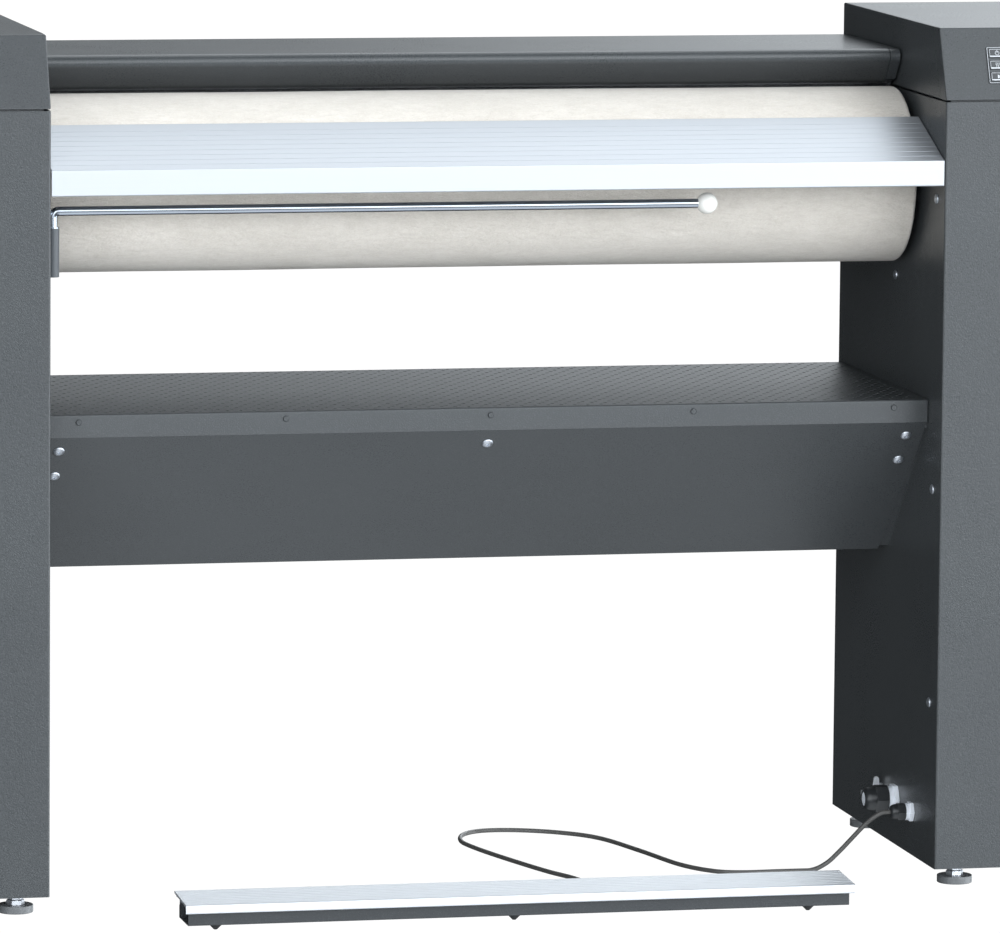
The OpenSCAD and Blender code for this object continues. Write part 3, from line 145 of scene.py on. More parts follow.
world = bpy.data.worlds.new("studio")
world.use_nodes = True
world.node_tree.nodes.clear()
studio = Network(world.node_tree)
view_line = studio.add("ShaderNodeTexCoord", {}, {}, out="Generated")
white_light = (1.0, 1.0, 1.0, 1.0)
cool_light = (0.90, 0.955, 1.0, 1.0)
dim_light = 0.04


def ramp(signal, start, end, low, high):
    """A signal turned into a smooth step from a low value at its start to a high one at its end."""
    return studio.add("ShaderNodeMapRange", {"interpolation_type": "SMOOTHSTEP"},
                      {0: signal, 1: start, 2: end, 3: low, 4: high})


def glow(azimuth, elevation, inner, outer, strength):
    """A round patch of light: full inside the inner angle from its middle, gone at the outer one."""
    a, e, inner, outer = (math.radians(v) for v in (azimuth, elevation, inner, outer))
    middle = (math.sin(a) * math.cos(e), math.cos(a) * math.cos(e), math.sin(e))
    near = studio.add("ShaderNodeVectorMath", {"operation": "DOT_PRODUCT"},
                      {0: view_line, 1: middle}, out="Value")
    return ramp(near, math.cos(outer), math.cos(inner), 0.0, strength)


height = studio.add("ShaderNodeSeparateXYZ", {}, {0: view_line}, out="Z")
above_floor = ramp(height, -0.19, -0.08, 0.15, 1.0)
in_front = glow(203, 15, 5, 36, 3.2) + glow(142, 20, 5, 38, 3.5) + glow(150, 6, 4, 27, 3.6)
below = glow(185, -50, 8, 42, 1.2) + glow(0, -86, 8, 35, 0.8)
overhead = glow(50, 52, 10, 42, 2.2)
behind = glow(20, 26, 8, 19, 1.4) + glow(38, 4, 20, 27, 1.1) + glow(34, -6, 10, 26, 0.4)
beside = glow(95, -5, 12, 36, 4.2) + glow(262, 20, 15, 60, 0.2) + glow(226, 0, 5, 12, 4.5)
glows = dim_light + above_floor * in_front + below + overhead + behind + beside
lit = studio.add("ShaderNodeBackground", {}, {"Color": cool_light, "Strength": glows})
paper = studio.add("ShaderNodeBackground", {}, {"Color": white_light, "Strength": 1.0})
seen = studio.add("ShaderNodeLightPath", {}, {}, out="Is Camera Ray")
surround = studio.add("ShaderNodeMixShader", {}, {0: seen, 1: lit, 2: paper})
studio.add("ShaderNodeOutputWorld", {}, {"Surface": surround})
bpy.context.scene.world = world
bpy.context.scene.view_settings.view_transform = "Standard"

floor_material = bpy.data.materials.new("studio_floor")
floor_material.use_nodes = True
floor_material.node_tree.nodes.clear()
ground = Network(floor_material.node_tree)
clear = ground.add("ShaderNodeBsdfTransparent", {}, {"Color": white_light})
floor_white = ground.add("ShaderNodeEmission", {}, {"Color": white_light, "Strength": 1.05})
looked_at = ground.add("ShaderNodeLightPath", {}, {}, out="Is Camera Ray")
surface = ground.add("ShaderNodeMixShader", {}, {0: looked_at, 1: clear, 2: floor_white})
ground.add("ShaderNodeOutputMaterial", {}, {"Surface": surface})
floor_reach = 60.0
floor_corners = [(x * floor_reach, y * floor_reach, 0) for x, y in ((-1, -1), (1, -1), (1, 1), (-1, 1))]
floor_mesh = bpy.data.meshes.new("studio_floor")
floor_mesh.from_pydata(floor_corners, [], [(0, 1, 2, 3)])
floor_mesh.materials.append(floor_material)
floor = bpy.data.objects.new("studio_floor", floor_mesh)
bpy.context.scene.collection.objects.link(floor)


# Foot bar's lead
# A 5.5 mm sheathed control lead. It leaves the small gland on the right column, droops to the
# floor, runs round in one loop and goes into the back of the foot bar.
columns_front = -0.151
lead_diameter = 0.0055
lead_route = np.array([
    [505, 102, 75], [495, 103, 74], [484, 106, 67], [473, 110, 56], [461, 114, 42], [447, 118, 26],
    [431, 121, 11], [411, 124, 2.75], [372, 125, 2.75], [330, 125, 2.75], [298, 139, 2.75],
    [268, 190, 2.75], [243, 291, 2.75], [215, 385, 2.75], [176, 432, 2.75], [125, 459, 2.75],
    [82, 461, 2.75], [55, 438, 2.75], [43, 397, 2.75], [47, 355, 2.75], [66, 280, 2.75],
    [98, 177, 2.75], [121, 120, 2.75], [134, 60, 2.75], [138, 0, 2.75], [138, -50, 7],
    [138, -76, 16], [138, -97, 19]]) / 1000 + [0, columns_front, 0]


class Finish(Network):
    """One procedural surface finish round a Principled shader."""

    def __init__(self, name, colour, roughness, metallic=0.0, **sockets):
        self.colour = (*colour, 1.0)
        self.material = bpy.data.materials.new(name)
        self.material.use_nodes = True
        super().__init__(self.material.node_tree)
        self.shader = next(n for n in self.tree.nodes if n.type == "BSDF_PRINCIPLED")
        fixed = {"Base Color": self.colour, "Roughness": roughness, "Metallic": metallic}
        fixed.update({name.replace("_", " "): value for name, value in sockets.items()})
        for socket, value in fixed.items():
            self.shader.inputs[socket].default_value = value
        self.relief = None

    def noise(self, scale, detail=2.0, stretch=(1, 1, 1), rough=0.5):
        """Cloudy noise from 0 to 1, on the point in metres; scale is how many clouds go to a metre."""
        here = self.add("ShaderNodeTexCoord", {}, {}, out="Object")
        where = self.add("ShaderNodeMapping", {}, {"Vector": here, "Scale": stretch})
        return self.add("ShaderNodeTexNoise", {},
                        {"Vector": where, "Scale": scale, "Detail": detail, "Roughness": rough})

    def tint(self, amount, colour):
        """Lets the colour drift from the finish's own to another, by a signal from 0 to 1."""
        socket = self.shader.inputs["Base Color"]
        start = Signal(self, socket.links[0].from_socket) if socket.is_linked else self.colour
        mixed = self.add("ShaderNodeMix", {"data_type": "RGBA", "clamp_factor": True},
                         {0: amount, 6: start, 7: (*colour, 1.0)}, out=2)
        self.tree.links.new(mixed.socket, socket)

    def drive(self, socket, signal):
        """Lets a signal set roughness, coat weight and the like."""
        self.tree.links.new(signal.socket, self.shader.inputs[socket])

    def raise_by(self, height, depth):
        """Raises and lowers the surface by a signal from 0 to 1, times a depth in metres."""
        values = {"Height": height, "Distance": depth, "Strength": 1.0}
        if self.relief:
            values["Normal"] = self.relief
        self.relief = self.add("ShaderNodeBump", {}, values)
        self.tree.links.new(self.relief.socket, self.shader.inputs["Normal"])


def smooth_line(points, steps):
    """A Catmull-Rom curve: between two points it blends them and their neighbours by cubics."""
    p = np.vstack([points[:1], points, points[-1:]])
    t = (np.arange(steps) / steps)[None, :, None]
    a, b, c, d = (p[i:len(p) - 3 + i, None, :] for i in range(4))
    squared = (2 * a - 5 * b + 4 * c - d) * t**2
    cubed = (3 * b - a - 3 * c + d) * t**3
    curve = (2 * b + (c - a) * t + squared + cubed) / 2
    return np.vstack([curve.reshape(-1, 3), points[-1:]])


def grid_faces(rows, columns, around=True):
    """Four-sided faces between neighbouring points of a grid. The word around joins its last column to
    its first."""
    i, j = np.meshgrid(np.arange(rows - 1), np.arange(columns if around else columns - 1), indexing="ij")
    k = (j + 1) % columns
    row = i * columns
    faces = np.stack([row + j, row + k, row + columns + k, row + columns + j], -1)
    return faces.reshape(-1, 4)


def tube(line, radius, sides=20, beside=(0, 0, 1)):
    """A round tube: at each point of the line a circle, square to the way the line runs there."""
    along = np.gradient(line, axis=0)
    along /= np.linalg.norm(along, axis=1, keepdims=True)
    across = np.cross(along, beside)
    across /= np.linalg.norm(across, axis=1, keepdims=True)
    upward = np.cross(across, along)
    angle = (np.arange(sides) * 2 * np.pi / sides)[None, :, None]
    ring = np.cos(angle) * across[:, None] + np.sin(angle) * upward[:, None]
    points = (line[:, None] + radius * ring).reshape(-1, 3)
    n = len(line)
    return points, grid_faces(n, sides), [range(sides), range((n - 1) * sides, n * sides)]


def make_mesh(name, *shapes, sharp=35):
    """One mesh of closed shapes, each a tuple of points, four-sided faces and the rims of up to two end
    faces. Every shape is turned outwards by the sign of its volume, and faces that meet at more than
    the sharp angle keep an edge."""
    everything = []
    loops = []
    counts = []
    offset = 0
    for points, quads, rims in shapes:
        a, b, c, d = (points[quads[:, i]] for i in range(4))
        volume = np.einsum("ij,ij->", a, np.cross(b, c)) + np.einsum("ij,ij->", a, np.cross(c, d))
        faces = []
        for rim, beside_it in zip(rims, (quads[0], quads[-1])):
            rim = np.asarray(rim)
            rim = rim if shares_edge_backwards(beside_it, rim) else rim[::-1]
            ring = points[rim]
            volume += np.einsum("j,ij->", ring[0], np.cross(ring[1:-1], ring[2:]))
            faces.append(rim)
        if volume < 0:
            quads, faces = quads[:, ::-1], [rim[::-1] for rim in faces]
        everything.append(points)
        loops += [quads.ravel() + offset] + [rim + offset for rim in faces]
        counts += [np.full(len(quads), 4), [len(rim) for rim in faces]]
        offset += len(points)
    counts = np.concatenate(counts).astype(np.int32)
    loops = np.concatenate(loops).astype(np.int32)
    mesh = bpy.data.meshes.new(name)
    mesh.vertices.add(offset)
    mesh.vertices.foreach_set("co", np.vstack(everything).astype(np.float32).ravel())
    mesh.loops.add(len(loops))
    mesh.loops.foreach_set("vertex_index", loops)
    starts = np.concatenate([[0], np.cumsum(counts)[:-1]]).astype(np.int32)
    mesh.polygons.add(len(counts))
    mesh.polygons.foreach_set("loop_start", starts)
    mesh.update(calc_edges=True)
    lean_on_wide_faces(mesh, sharp)
    return mesh


def lean_on_wide_faces(mesh, limit):
    """Corner normals: over the faces round a point that lean less than the limit from the corner's own
    face, the sum of area times normal. So wide faces shade flat and narrow bends take up the turn."""
    sizes = np.empty(len(mesh.polygons), np.int32)
    areas = np.empty(len(mesh.polygons))
    normals = np.empty((len(mesh.polygons), 3))
    points = np.empty(len(mesh.loops), np.int32)
    mesh.polygons.foreach_get("loop_total", sizes)
    mesh.polygons.foreach_get("area", areas)
    mesh.polygons.foreach_get("normal", normals.reshape(-1))
    mesh.loops.foreach_get("vertex_index", points)
    faces = np.repeat(np.arange(len(sizes)), sizes)
    order = np.argsort(points, kind="stable")
    firsts = np.searchsorted(points[order], np.arange(len(mesh.vertices)))
    turn = np.arange(len(order)) - firsts[points[order]]
    around = np.full((len(mesh.vertices), turn.max() + 1), -1)
    around[points[order], turn] = faces[order]
    around = around[points]
    near = np.einsum("lc,lmc->lm", normals[faces], normals[around]) > math.cos(math.radians(limit))
    corners = np.einsum("lm,lmc->lc", near * areas[around] * (around >= 0), normals[around])
    corners /= np.maximum(np.linalg.norm(corners, axis=1, keepdims=True), 1e-20)
    mesh.shade_smooth()
    mesh.normals_split_custom_set(corners.tolist())


def shares_edge_backwards(quad, rim):
    """Whether a rim runs the other way along the edge that it shares with a face, as neighbours do."""
    quad, rim = [int(v) for v in quad], [int(v) for v in rim]
    ways = {(rim[i - 1], rim[i]) for i in range(len(rim))}
    return any((quad[i], quad[i - 1]) in ways for i in range(4))


def put(mesh, finish, slot, *nodes, body="frame"):
    """Makes a mesh a piece in a finish, in place of CAD nodes, riding on their body."""
    thing = bpy.data.objects.new(mesh.name, mesh)
    mesh.materials.clear()
    mesh.materials.append(finish.material)
    bpy.context.scene.collection.objects.link(thing)
    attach(thing, body_of(frame["nodes"][nodes[0]])[0] if nodes else body)
    if nodes:
        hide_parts(*nodes)
    return thing


lead_line = smooth_line(lead_route, 8)
lead_line[:, 2] = np.maximum(lead_line[:, 2], lead_diameter / 2)
sheath = Finish("lead_sheath", (0.085, 0.082, 0.078), 0.38)
sheath.raise_by(sheath.noise(900, 2.0), 0.00008)
sheath.drive("Roughness", 0.33 + sheath.noise(60, 2.0) * 0.14)
lead_mesh = make_mesh("foot_lead_sheath", tube(lead_line, lead_diameter / 2))
lead = put(lead_mesh, sheath, "lead_sheath", "foot_lead")


# Casings, hoods and folded sheets
# Columns, apron and brackets are folded steel sheet under an anthracite powder coat. The folds are
# rounded and catch a line of light, and the coat has a fine, slightly glossy grain.
def powder(name, colour, roughness):
    """Powder coat: grain of about a millimetre in height, shade and gloss, over slow waves."""
    coat = Finish(name, colour, roughness, Specular_IOR_Level=0.5)
    grain = coat.noise(620, 3.0, rough=0.6)
    waves = coat.noise(9, 2.0)
    coat.tint((grain > 0.58) * 0.35 + waves * 0.15, tuple(1.6 * c + 0.015 for c in colour))
    coat.drive("Roughness", roughness - 0.06 + grain * 0.12 + waves * 0.04)
    coat.raise_by(grain, 0.00022)
    coat.raise_by(waves, 0.0002)
    return coat


def breadth(face):
    """A face's area over its longest edge."""
    return face.calc_area() / max(edge.calc_length() for edge in face.edges)


def soften(finish, nodes, fold=0.0, edge=0.0003, sharp=28, reshape=None):
    """Puts copies of CAD nodes in their place, with joined faces, after a function has moved their
    points if one is given. Edges between two wide faces are rounded as folds, and the other long
    edges a little. Flat faces stay flat, and bends are smooth."""
    for node in nodes:
        shell = bmesh.new()
        shell.from_mesh(frame["nodes"][node].data)
        bmesh.ops.remove_doubles(shell, verts=shell.verts, dist=2e-6)
        if reshape:
            places = reshape(np.array([point.co[:] for point in shell.verts]))
            for point, place in zip(shell.verts, places):
                point.co = place
        bmesh.ops.dissolve_limit(shell, angle_limit=math.radians(0.5), verts=shell.verts,
                                 edges=shell.edges)
        for width in (fold, edge):
            if not width:
                continue
            chosen = [line for line in shell.edges
                      if len(line.link_faces) == 2
                      and line.calc_face_angle_signed(0.0) >= math.radians(sharp)
                      and line.calc_length() > 12 * width
                      and min(breadth(face) for face in line.link_faces) > 2.5 * width]
            bmesh.ops.bevel(shell, geom=chosen, offset=width, offset_type="OFFSET", segments=3,
                            profile=0.5, affect="EDGES", clamp_overlap=False)
        mesh = bpy.data.meshes.new(f"{node}_dressed")
        shell.to_mesh(mesh)
        shell.free()
        lean_on_wide_faces(mesh, sharp + 15)
        put(mesh, finish, slot_of[node], node)


def deepen_seam(points):
    """The skirt in the gap between hood and casing is moved inwards, so the gap lies in shadow. It is
    the points under the skirt's top that are off all walls, and those near a wall move away from it."""
    low, high = points.min(0)[:2], points.max(0)[:2]
    from_wall = np.minimum(points[:, :2] - low, high - points[:, :2])
    inwards = np.sign((low + high) / 2 - points[:, :2])
    skirt = (points[:, 2] < skirt_top) & (from_wall > skirt_near).all(1)
    points[:, :2] += (skirt[:, None] & (from_wall < skirt_far)) * inwards * skirt_shift
    return points


skirt_top = 0.9397
skirt_near = 0.0010
skirt_far = 0.0035
skirt_shift = 0.006
slot_of = {part["node"]: part["material_slot"] for part in frame["record"]["subparts"]}
anthracite = powder("powder_coat", (0.046, 0.050, 0.053), 0.27)
soften(anthracite, ["left_casing", "right_casing"], fold=0.0018)
soften(anthracite, ["left_hood", "right_hood"], fold=0.0018, reshape=deepen_seam)
soften(anthracite, ["left_side_cover", "right_side_cover", "left_back_cover", "right_back_cover",
                    "tray_apron", "tray_brackets", "tray_rivets"])


# Roller cloth
# Off-white needled cloth, wound tight over the padding and drawn in at the ends. Its fibres
# lie every way, so it looks mottled, and its outer end shows as one faint ridge.
roller_y = columns_front + 0.195
roller_z = 0.835
roller_radius = 0.105
cloth_inside = 0.09305
cloth_length = 1.048
cloth_round = 0.005
cloth_sides = 256
cloth_sunk = 0.0003
smooth_end = 0.004
lap_angle = 0.9
lap_width = 0.03
lap_height = 0.0005


def arc(middle, radius, start, end, steps):
    """Points on an arc between two angles in degrees."""
    a = np.radians(np.linspace(start, end, steps + 1))
    return np.column_stack([middle[0] + radius * np.cos(a), middle[1] + radius * np.sin(a)])


def ring_faces(rows, sides):
    """Faces of a grid that closes both ways: the last row joins the first one again."""
    first = np.arange(sides)
    last = (rows - 1) * sides + first
    closing = np.stack([last, np.roll(last, -1), np.roll(first, -1), first], -1)
    return np.vstack([grid_faces(rows, sides), closing])


def wound_cloth():
    """A line along the cloth and back inside it, carried round the roller. The radius has two slow
    waves over length and angle, and a narrow ridge at the lap's angle."""
    half = cloth_length / 2
    right_edge = arc((half - cloth_round, roller_radius - cloth_round), cloth_round, 90, 0, 8)
    middle = np.column_stack([np.linspace(-half + 0.02, half - 0.02, 60), np.full(60, roller_radius)])
    back = [[half, cloth_inside], [-half, cloth_inside]]
    line = np.vstack([right_edge[::-1] * [-1, 1], middle, right_edge, back])
    turn = np.arange(cloth_sides) * 2 * np.pi / cloth_sides
    x, radius = line.T[:, :, None]
    swell = 0.00018 * np.sin(5 * turn + 9 * x) + 0.0001 * np.sin(11 * turn - 23 * x + 1.3)
    lap = lap_height * np.clip(1 - np.abs(turn - lap_angle) / lap_width, 0, 1)
    off_edge = np.abs(x) < half - smooth_end
    radius = np.where(radius > cloth_inside, radius - cloth_sunk + (swell + lap) * off_edge, radius)
    x = np.broadcast_to(x, radius.shape)
    points = np.stack([x, roller_y + radius * np.cos(turn), roller_z + radius * np.sin(turn)], -1)
    return points.reshape(-1, 3), ring_faces(len(line), cloth_sides), []


felt = Finish("needled_cloth", (0.76, 0.70, 0.63), 0.92, Sheen_Weight=0.3, Sheen_Roughness=0.5)
fibres = felt.noise(420, 5.0, stretch=(0.8, 2.2, 2.2), rough=0.7)
wisps = felt.noise(140, 4.0, stretch=(0.6, 1.7, 1.7), rough=0.72)
clouds = felt.noise(26, 4.0, stretch=(0.7, 1.5, 1.5), rough=0.65)
felt.tint((clouds - 0.40) * 1.9, (0.62, 0.565, 0.495))
felt.tint((wisps - 0.44) * 2.6, (0.64, 0.58, 0.51))
felt.tint((fibres - 0.46) * 1.6, (0.90, 0.86, 0.80))
felt.raise_by(fibres, 0.0008)
felt.raise_by(wisps, 0.0022)
felt.raise_by(clouds, 0.0008)
cloth = put(make_mesh("roller_cloth_wrap", wound_cloth()), felt, "cloth", "roller_cloth")


# Pan cover, finger guard and end caps
# One smooth sheet profile: the guard's rounded nose and straight face end in a rolled lip over
# the cloth, a fine seam parts it from the cover behind, and a cap with a rim closes each end.
inner_face = 0.532
lip_angle = math.radians(68.2)
lip_gap = 0.0081
lip_way = np.array([math.cos(lip_angle), math.sin(lip_angle)])
lip = np.array([roller_y, roller_z]) + (roller_radius + lip_gap) * lip_way
lip_slope = 17.6
cover_top = lip[1] + 0.044
nose_radius = 0.009
guard_sheet = 0.002
cover_sheet = 0.0015
corner_radius = 0.014
seam = 0.0005
nose = np.array([lip[0] - 0.033, cover_top - nose_radius])
face_end = lip + [-0.0205, 0.0065]
face_run = math.dist(face_end, nose)
face_slope = math.atan2(nose[1] - face_end[1], face_end[0] - nose[0])
face_angle = math.degrees(face_slope - math.asin(nose_radius / face_run))
seam_y = nose[0] + 0.004
cover_back = columns_front + 0.455
cover_low = roller_z - roller_radius + 0.005
cover_foot = roller_y + 0.067
cap_gap = 0.0025
cap_width = 0.012


def shrink(outline, by):
    """A closed outline moved inwards by a small distance, along the mean of its neighbours' normals."""
    ahead = np.roll(outline, -1, 0) - outline
    ahead /= np.linalg.norm(ahead, axis=1, keepdims=True)
    way = ahead + np.roll(ahead, 1, 0)
    way /= np.maximum(np.linalg.norm(way, axis=1, keepdims=True), 1e-9)
    x, y = outline.T
    area = np.sum(x * np.roll(y, -1) - y * np.roll(x, -1))
    return outline + np.column_stack([-way[:, 1], way[:, 0]]) * by * np.sign(area)


def extruded(outline, start, end, ease=0.0003):
    """A closed outline in Y and Z carried along X, with its end edges eased."""
    n = len(outline)
    rings = [(start, ease), (start + ease, 0), (end - ease, 0), (end, ease)]
    points = [np.column_stack([np.full(n, x), shrink(outline, by)]) for x, by in rings]
    return np.vstack(points), grid_faces(4, n), [range(n), range(3 * n, 4 * n)]


def turned(profile, centre, along, sides=48, shape=None):
    """A solid of revolution: distances along an axis and radii, carried round it. Rows with a third
    number of 1 follow a shape round the axis, a factor on the radius at each angle."""
    along = np.array(along, float) / np.linalg.norm(along)
    across = np.cross(along, [0, 0, 1.0] if abs(along[2]) < 0.9 else [0, 1.0, 0])
    across /= np.linalg.norm(across)
    upward = np.cross(along, across)
    angle = np.arange(sides) * 2 * np.pi / sides
    rows = np.array([[*row, 0.0][:3] for row in profile], float)
    radius = rows[:, 1:2] * (1 + rows[:, 2:] * ((shape(angle) if shape else 1.0) - 1))
    ring = np.cos(angle)[None, :, None] * across + np.sin(angle)[None, :, None] * upward
    points = np.asarray(centre, float) + rows[:, :1, None] * along + radius[:, :, None] * ring
    n = len(rows)
    return points.reshape(-1, 3), grid_faces(n, sides), [range(sides), range((n - 1) * sides, n * sides)]


def guard_line(inset):
    """From the seam over the nose and down the face to the lip, drawn inside the outer surface."""
    turn = math.radians(90 - (face_angle + lip_slope) / 2)
    reach = inset / math.cos(math.radians((face_angle - lip_slope) / 2))
    corner = face_end + reach * np.array([math.cos(turn), math.sin(turn)])
    return np.vstack([[seam_y - seam - guard_sheet / 2, cover_top - inset],
                      arc(nose, nose_radius - inset, 90, 270 - face_angle, 24), corner, lip + [0, inset]])


def cover_line(inset):
    """From the seam over the back to the cover's lower front edge."""
    upper = (cover_back - corner_radius, cover_top - corner_radius)
    lower = (cover_back - corner_radius, cover_low + corner_radius)
    radius = corner_radius - inset
    foot = np.array([cover_foot + inset, cover_low + inset])
    return np.vstack([[seam_y + seam + cover_sheet / 2, cover_top - inset], arc(upper, radius, 90, 0, 12),
                      arc(lower, radius, 0, -90, 12), foot, foot + [0, nose_radius]])


def both_sides(line, out, along):
    """The closed outline at a distance out to both sides of a line, with a half circle round each end
    that bulges by the distance along."""
    turn = np.radians(np.linspace(90, -90, 7)[1:-1])[:, None]
    far = line[-1] + np.cos(turn) * along[-1] + np.sin(turn) * out[-1]
    near = line[0] - np.cos(turn) * along[0] - np.sin(turn) * out[0]
    return np.vstack([line + out, far, (line - out)[::-1], near])


def thickened(line, thick):
    """The outline of a sheet of even thickness along a line with few points: half the thickness to
    either side, with mitred corners and rounded edges."""
    step = np.diff(line, axis=0)
    step /= np.linalg.norm(step, axis=1, keepdims=True)
    normal = np.column_stack([-step[:, 1], step[:, 0]])
    mitre = np.vstack([normal[:1], normal[:-1] + normal[1:], normal[-1:]])
    mitre /= np.sum(mitre * np.vstack([normal[:1], normal]), axis=1, keepdims=True)
    return both_sides(line, mitre * thick / 2, step * thick / 2)


cap_inner = inner_face - cap_gap - cap_width
guard_half = cap_inner - seam
hinge = np.array([nose[0] + 0.010, cover_top - 0.009])
hinge_pin = [(0, 0.0025), (0.0005, 0.003), (0.0145, 0.003), (0.015, 0.0025)]
hinge_lug = [(0, 0.0055), (0.0005, 0.006), (0.0025, 0.006), (0.003, 0.0055)]
hinges = [turned(rows, (side * (guard_half - 0.003), *hinge), (side, 0, 0), 24)
          for rows in (hinge_pin, hinge_lug) for side in (-1, 1)]
guard_outline = thickened(guard_line(guard_sheet / 2), guard_sheet)
guard = make_mesh("finger_guard_profile", extruded(guard_outline, -guard_half, guard_half), *hinges)
put(guard, anthracite, "powder_coat", "finger_guard")
cover_outline = thickened(cover_line(cover_sheet / 2), cover_sheet)
cover = make_mesh("pan_cover_shell", extruded(cover_outline, -cap_inner, cap_inner))
put(cover, anthracite, "powder_coat", "pan_cover")
soften(anthracite, ["pan_cover_caps"])


# Feed board
# An aluminium extrusion, matt anodised, with shallow grooves along it and a front flange. It
# slopes down to the front between the columns, on a small angle bracket at each end. The grooves
# are shallower here than in the solids, as faint as in the photograph.
def drawn(name, colour, roughness, streak, metallic=1.0):
    """Drawn or extruded metal: fine streaks along X in gloss and height."""
    metal = Finish(name, colour, roughness, metallic)
    lines = metal.noise(1.0, 3.0, stretch=(6, 1500, 1500))
    metal.drive("Roughness", roughness - streak / 2 + lines * streak)
    metal.raise_by(lines, 0.00003)
    metal.tint(lines * 0.2, tuple(0.9 * c for c in colour))
    return metal


def raise_grooves(points):
    """The floors of the board's grooves, one groove's depth under its highest points, are raised square
    to its top by the depth as cut less the depth as seen."""
    height = points @ board_out
    floors = np.abs(height.max() - height - groove_cut) < groove_near
    return points + floors[:, None] * (groove_cut - groove_seen) * board_out


board_slope = math.radians(20)
board_out = np.array([0, -math.sin(board_slope), math.cos(board_slope)])
groove_cut = 0.0007
groove_seen = 0.0003
groove_near = 0.00003
anodised = drawn("matt_anodised", (0.53, 0.55, 0.58), 0.42, 0.12, 0.7)
soften(anodised, ["feed_board"], edge=0.0005, reshape=raise_grooves)


# Laundry tray
# Folded sheet across the columns: a front lip over a rounded fold, and a top pierced with
# staggered rows of 5 mm holes, all the way to the back flange.
tray_front = columns_front + 0.057
tray_back = columns_front + 0.455
tray_top = 0.578
tray_half = 0.531
tray_sheet = 0.0015
lip_drop = 0.027
back_drop = 0.020
front_fold = 0.0025
back_fold = 0.0016
hole_radius = 0.0025
hole_pitch = 0.016
holes_in_row = 66
hole_rows = 28
row_pitch = hole_pitch * math.sin(math.radians(60))
holes_from = tray_front + 0.014 - row_pitch / 2


def tray_line(inset):
    """From the lip's lower edge over the front fold, along the top and down the back flange."""
    fronts = arc((tray_front + front_fold, tray_top - front_fold), front_fold - inset, 180, 90, 6)
    backs = arc((tray_back - back_fold, tray_top - back_fold), back_fold - inset, 90, 0, 4)
    rows = holes_from + row_pitch / 2 * np.arange(2 * hole_rows + 1)
    pierced = np.column_stack([rows, np.full(len(rows), tray_top - inset)])
    low = [[tray_front + inset, tray_top - lip_drop], [tray_front + inset, tray_top - lip_drop / 2]]
    flange = [[tray_back - inset, tray_top - back_drop]]
    return np.vstack([low, fronts, pierced, backs, flange]), len(low) + len(fronts)


def perforated(outer, inner, first_row):
    """Two skins over the same grid. In each pierced cell the grid gives way to twelve faces from the
    cell's edge to a circle, row by row half a pitch apart, and a wall joins the two circles."""
    across = holes_in_row * 4
    middle = hole_pitch / 4 * (np.arange(across + 1) - across / 2)
    columns = np.concatenate([[-tray_half], middle, [tray_half]])
    rows = len(outer)
    wide = len(columns)
    skin = rows * wide
    grid = grid_faces(rows, wide, around=False).reshape(rows - 1, wide - 1, 4)
    down, over = np.meshgrid(np.arange(hole_rows), np.arange(holes_in_row), indexing="ij")
    kept = (over < holes_in_row - down % 2).ravel()
    row = (first_row + 2 * down).ravel()[kept]
    column = (1 + 4 * over + 2 * (down % 2)).ravel()[kept]
    plain = np.ones((rows - 1, wide - 1), bool)
    for lower in range(2):
        for further in range(4):
            plain[row + lower, column + further] = False
    edge_down = np.array([1, 2, 2, 2, 2, 2, 1, 0, 0, 0, 0, 0])
    edge_over = np.array([4, 4, 3, 2, 1, 0, 0, 0, 1, 2, 3, 4])
    edge = (row[:, None] + edge_down) * wide + column[:, None] + edge_over
    turn = np.radians(30 * np.arange(12))
    skins, circles, faces, rims = [], [], [], []
    for n, line in enumerate((outer, inner)):
        places = np.broadcast_arrays(columns[None, :], line[:, :1], line[:, 1:])
        skins.append(np.stack(places, -1).reshape(-1, 3))
        x = columns[column + 2][:, None] + hole_radius * np.cos(turn)
        y = line[row + 1, 0][:, None] + hole_radius * np.sin(turn)
        z = np.broadcast_to(line[row + 1, 1][:, None], x.shape)
        circles.append(np.stack([x, y, z], -1).reshape(-1, 3))
        rim = 2 * skin + n * x.size + np.arange(x.size).reshape(-1, 12)
        near = np.stack([edge, np.roll(edge, -1, 1)], -1) + n * skin
        fan = np.concatenate([rim[..., None], near, np.roll(rim, -1, 1)[..., None]], -1)
        faces.append(np.vstack([grid[plain] + n * skin, fan.reshape(-1, 4)]))
        rims += [rim, np.roll(rim, -1, 1)]
    walls = np.stack([rims[0], rims[1], rims[3], rims[2]], -1).reshape(-1, 4)
    border = np.concatenate([np.arange(wide), np.arange(2, rows + 1) * wide - 1,
                             skin - wide + np.arange(wide - 2, -1, -1),
                             np.arange(rows - 2, 0, -1) * wide])
    onward = np.roll(border, -1)
    sides = np.stack([onward, border, border + skin, onward + skin], -1)
    quads = np.vstack([faces[0], faces[1][:, ::-1], walls, sides])
    used, quads = np.unique(quads, return_inverse=True)
    return np.vstack(skins + circles)[used], quads.reshape(-1, 4), []


outer, first_pierced = tray_line(0.0)
inner, _ = tray_line(tray_sheet)
tray_coat = powder("tray_powder_coat", (0.046, 0.050, 0.053), 0.40)
tray = make_mesh("laundry_tray_sheet", perforated(outer, inner, first_pierced))
put(tray, tray_coat, "powder_coat", "laundry_tray")


# Laundry rail
# A polished tube in a sleeve on the left column. It rises through a collar to a tight elbow,
# runs along the front of the roller and ends in a white plastic ball, and swings to the front.
def plated(name, colour, roughness):
    """Plated or turned metal, with slow clouds in its gloss."""
    metal = Finish(name, colour, roughness, 1.0)
    clouds = metal.noise(120, 3.0)
    metal.drive("Roughness", roughness - 0.05 + clouds * 0.1)
    metal.raise_by(metal.noise(1500, 2.0), 0.00002)
    return metal


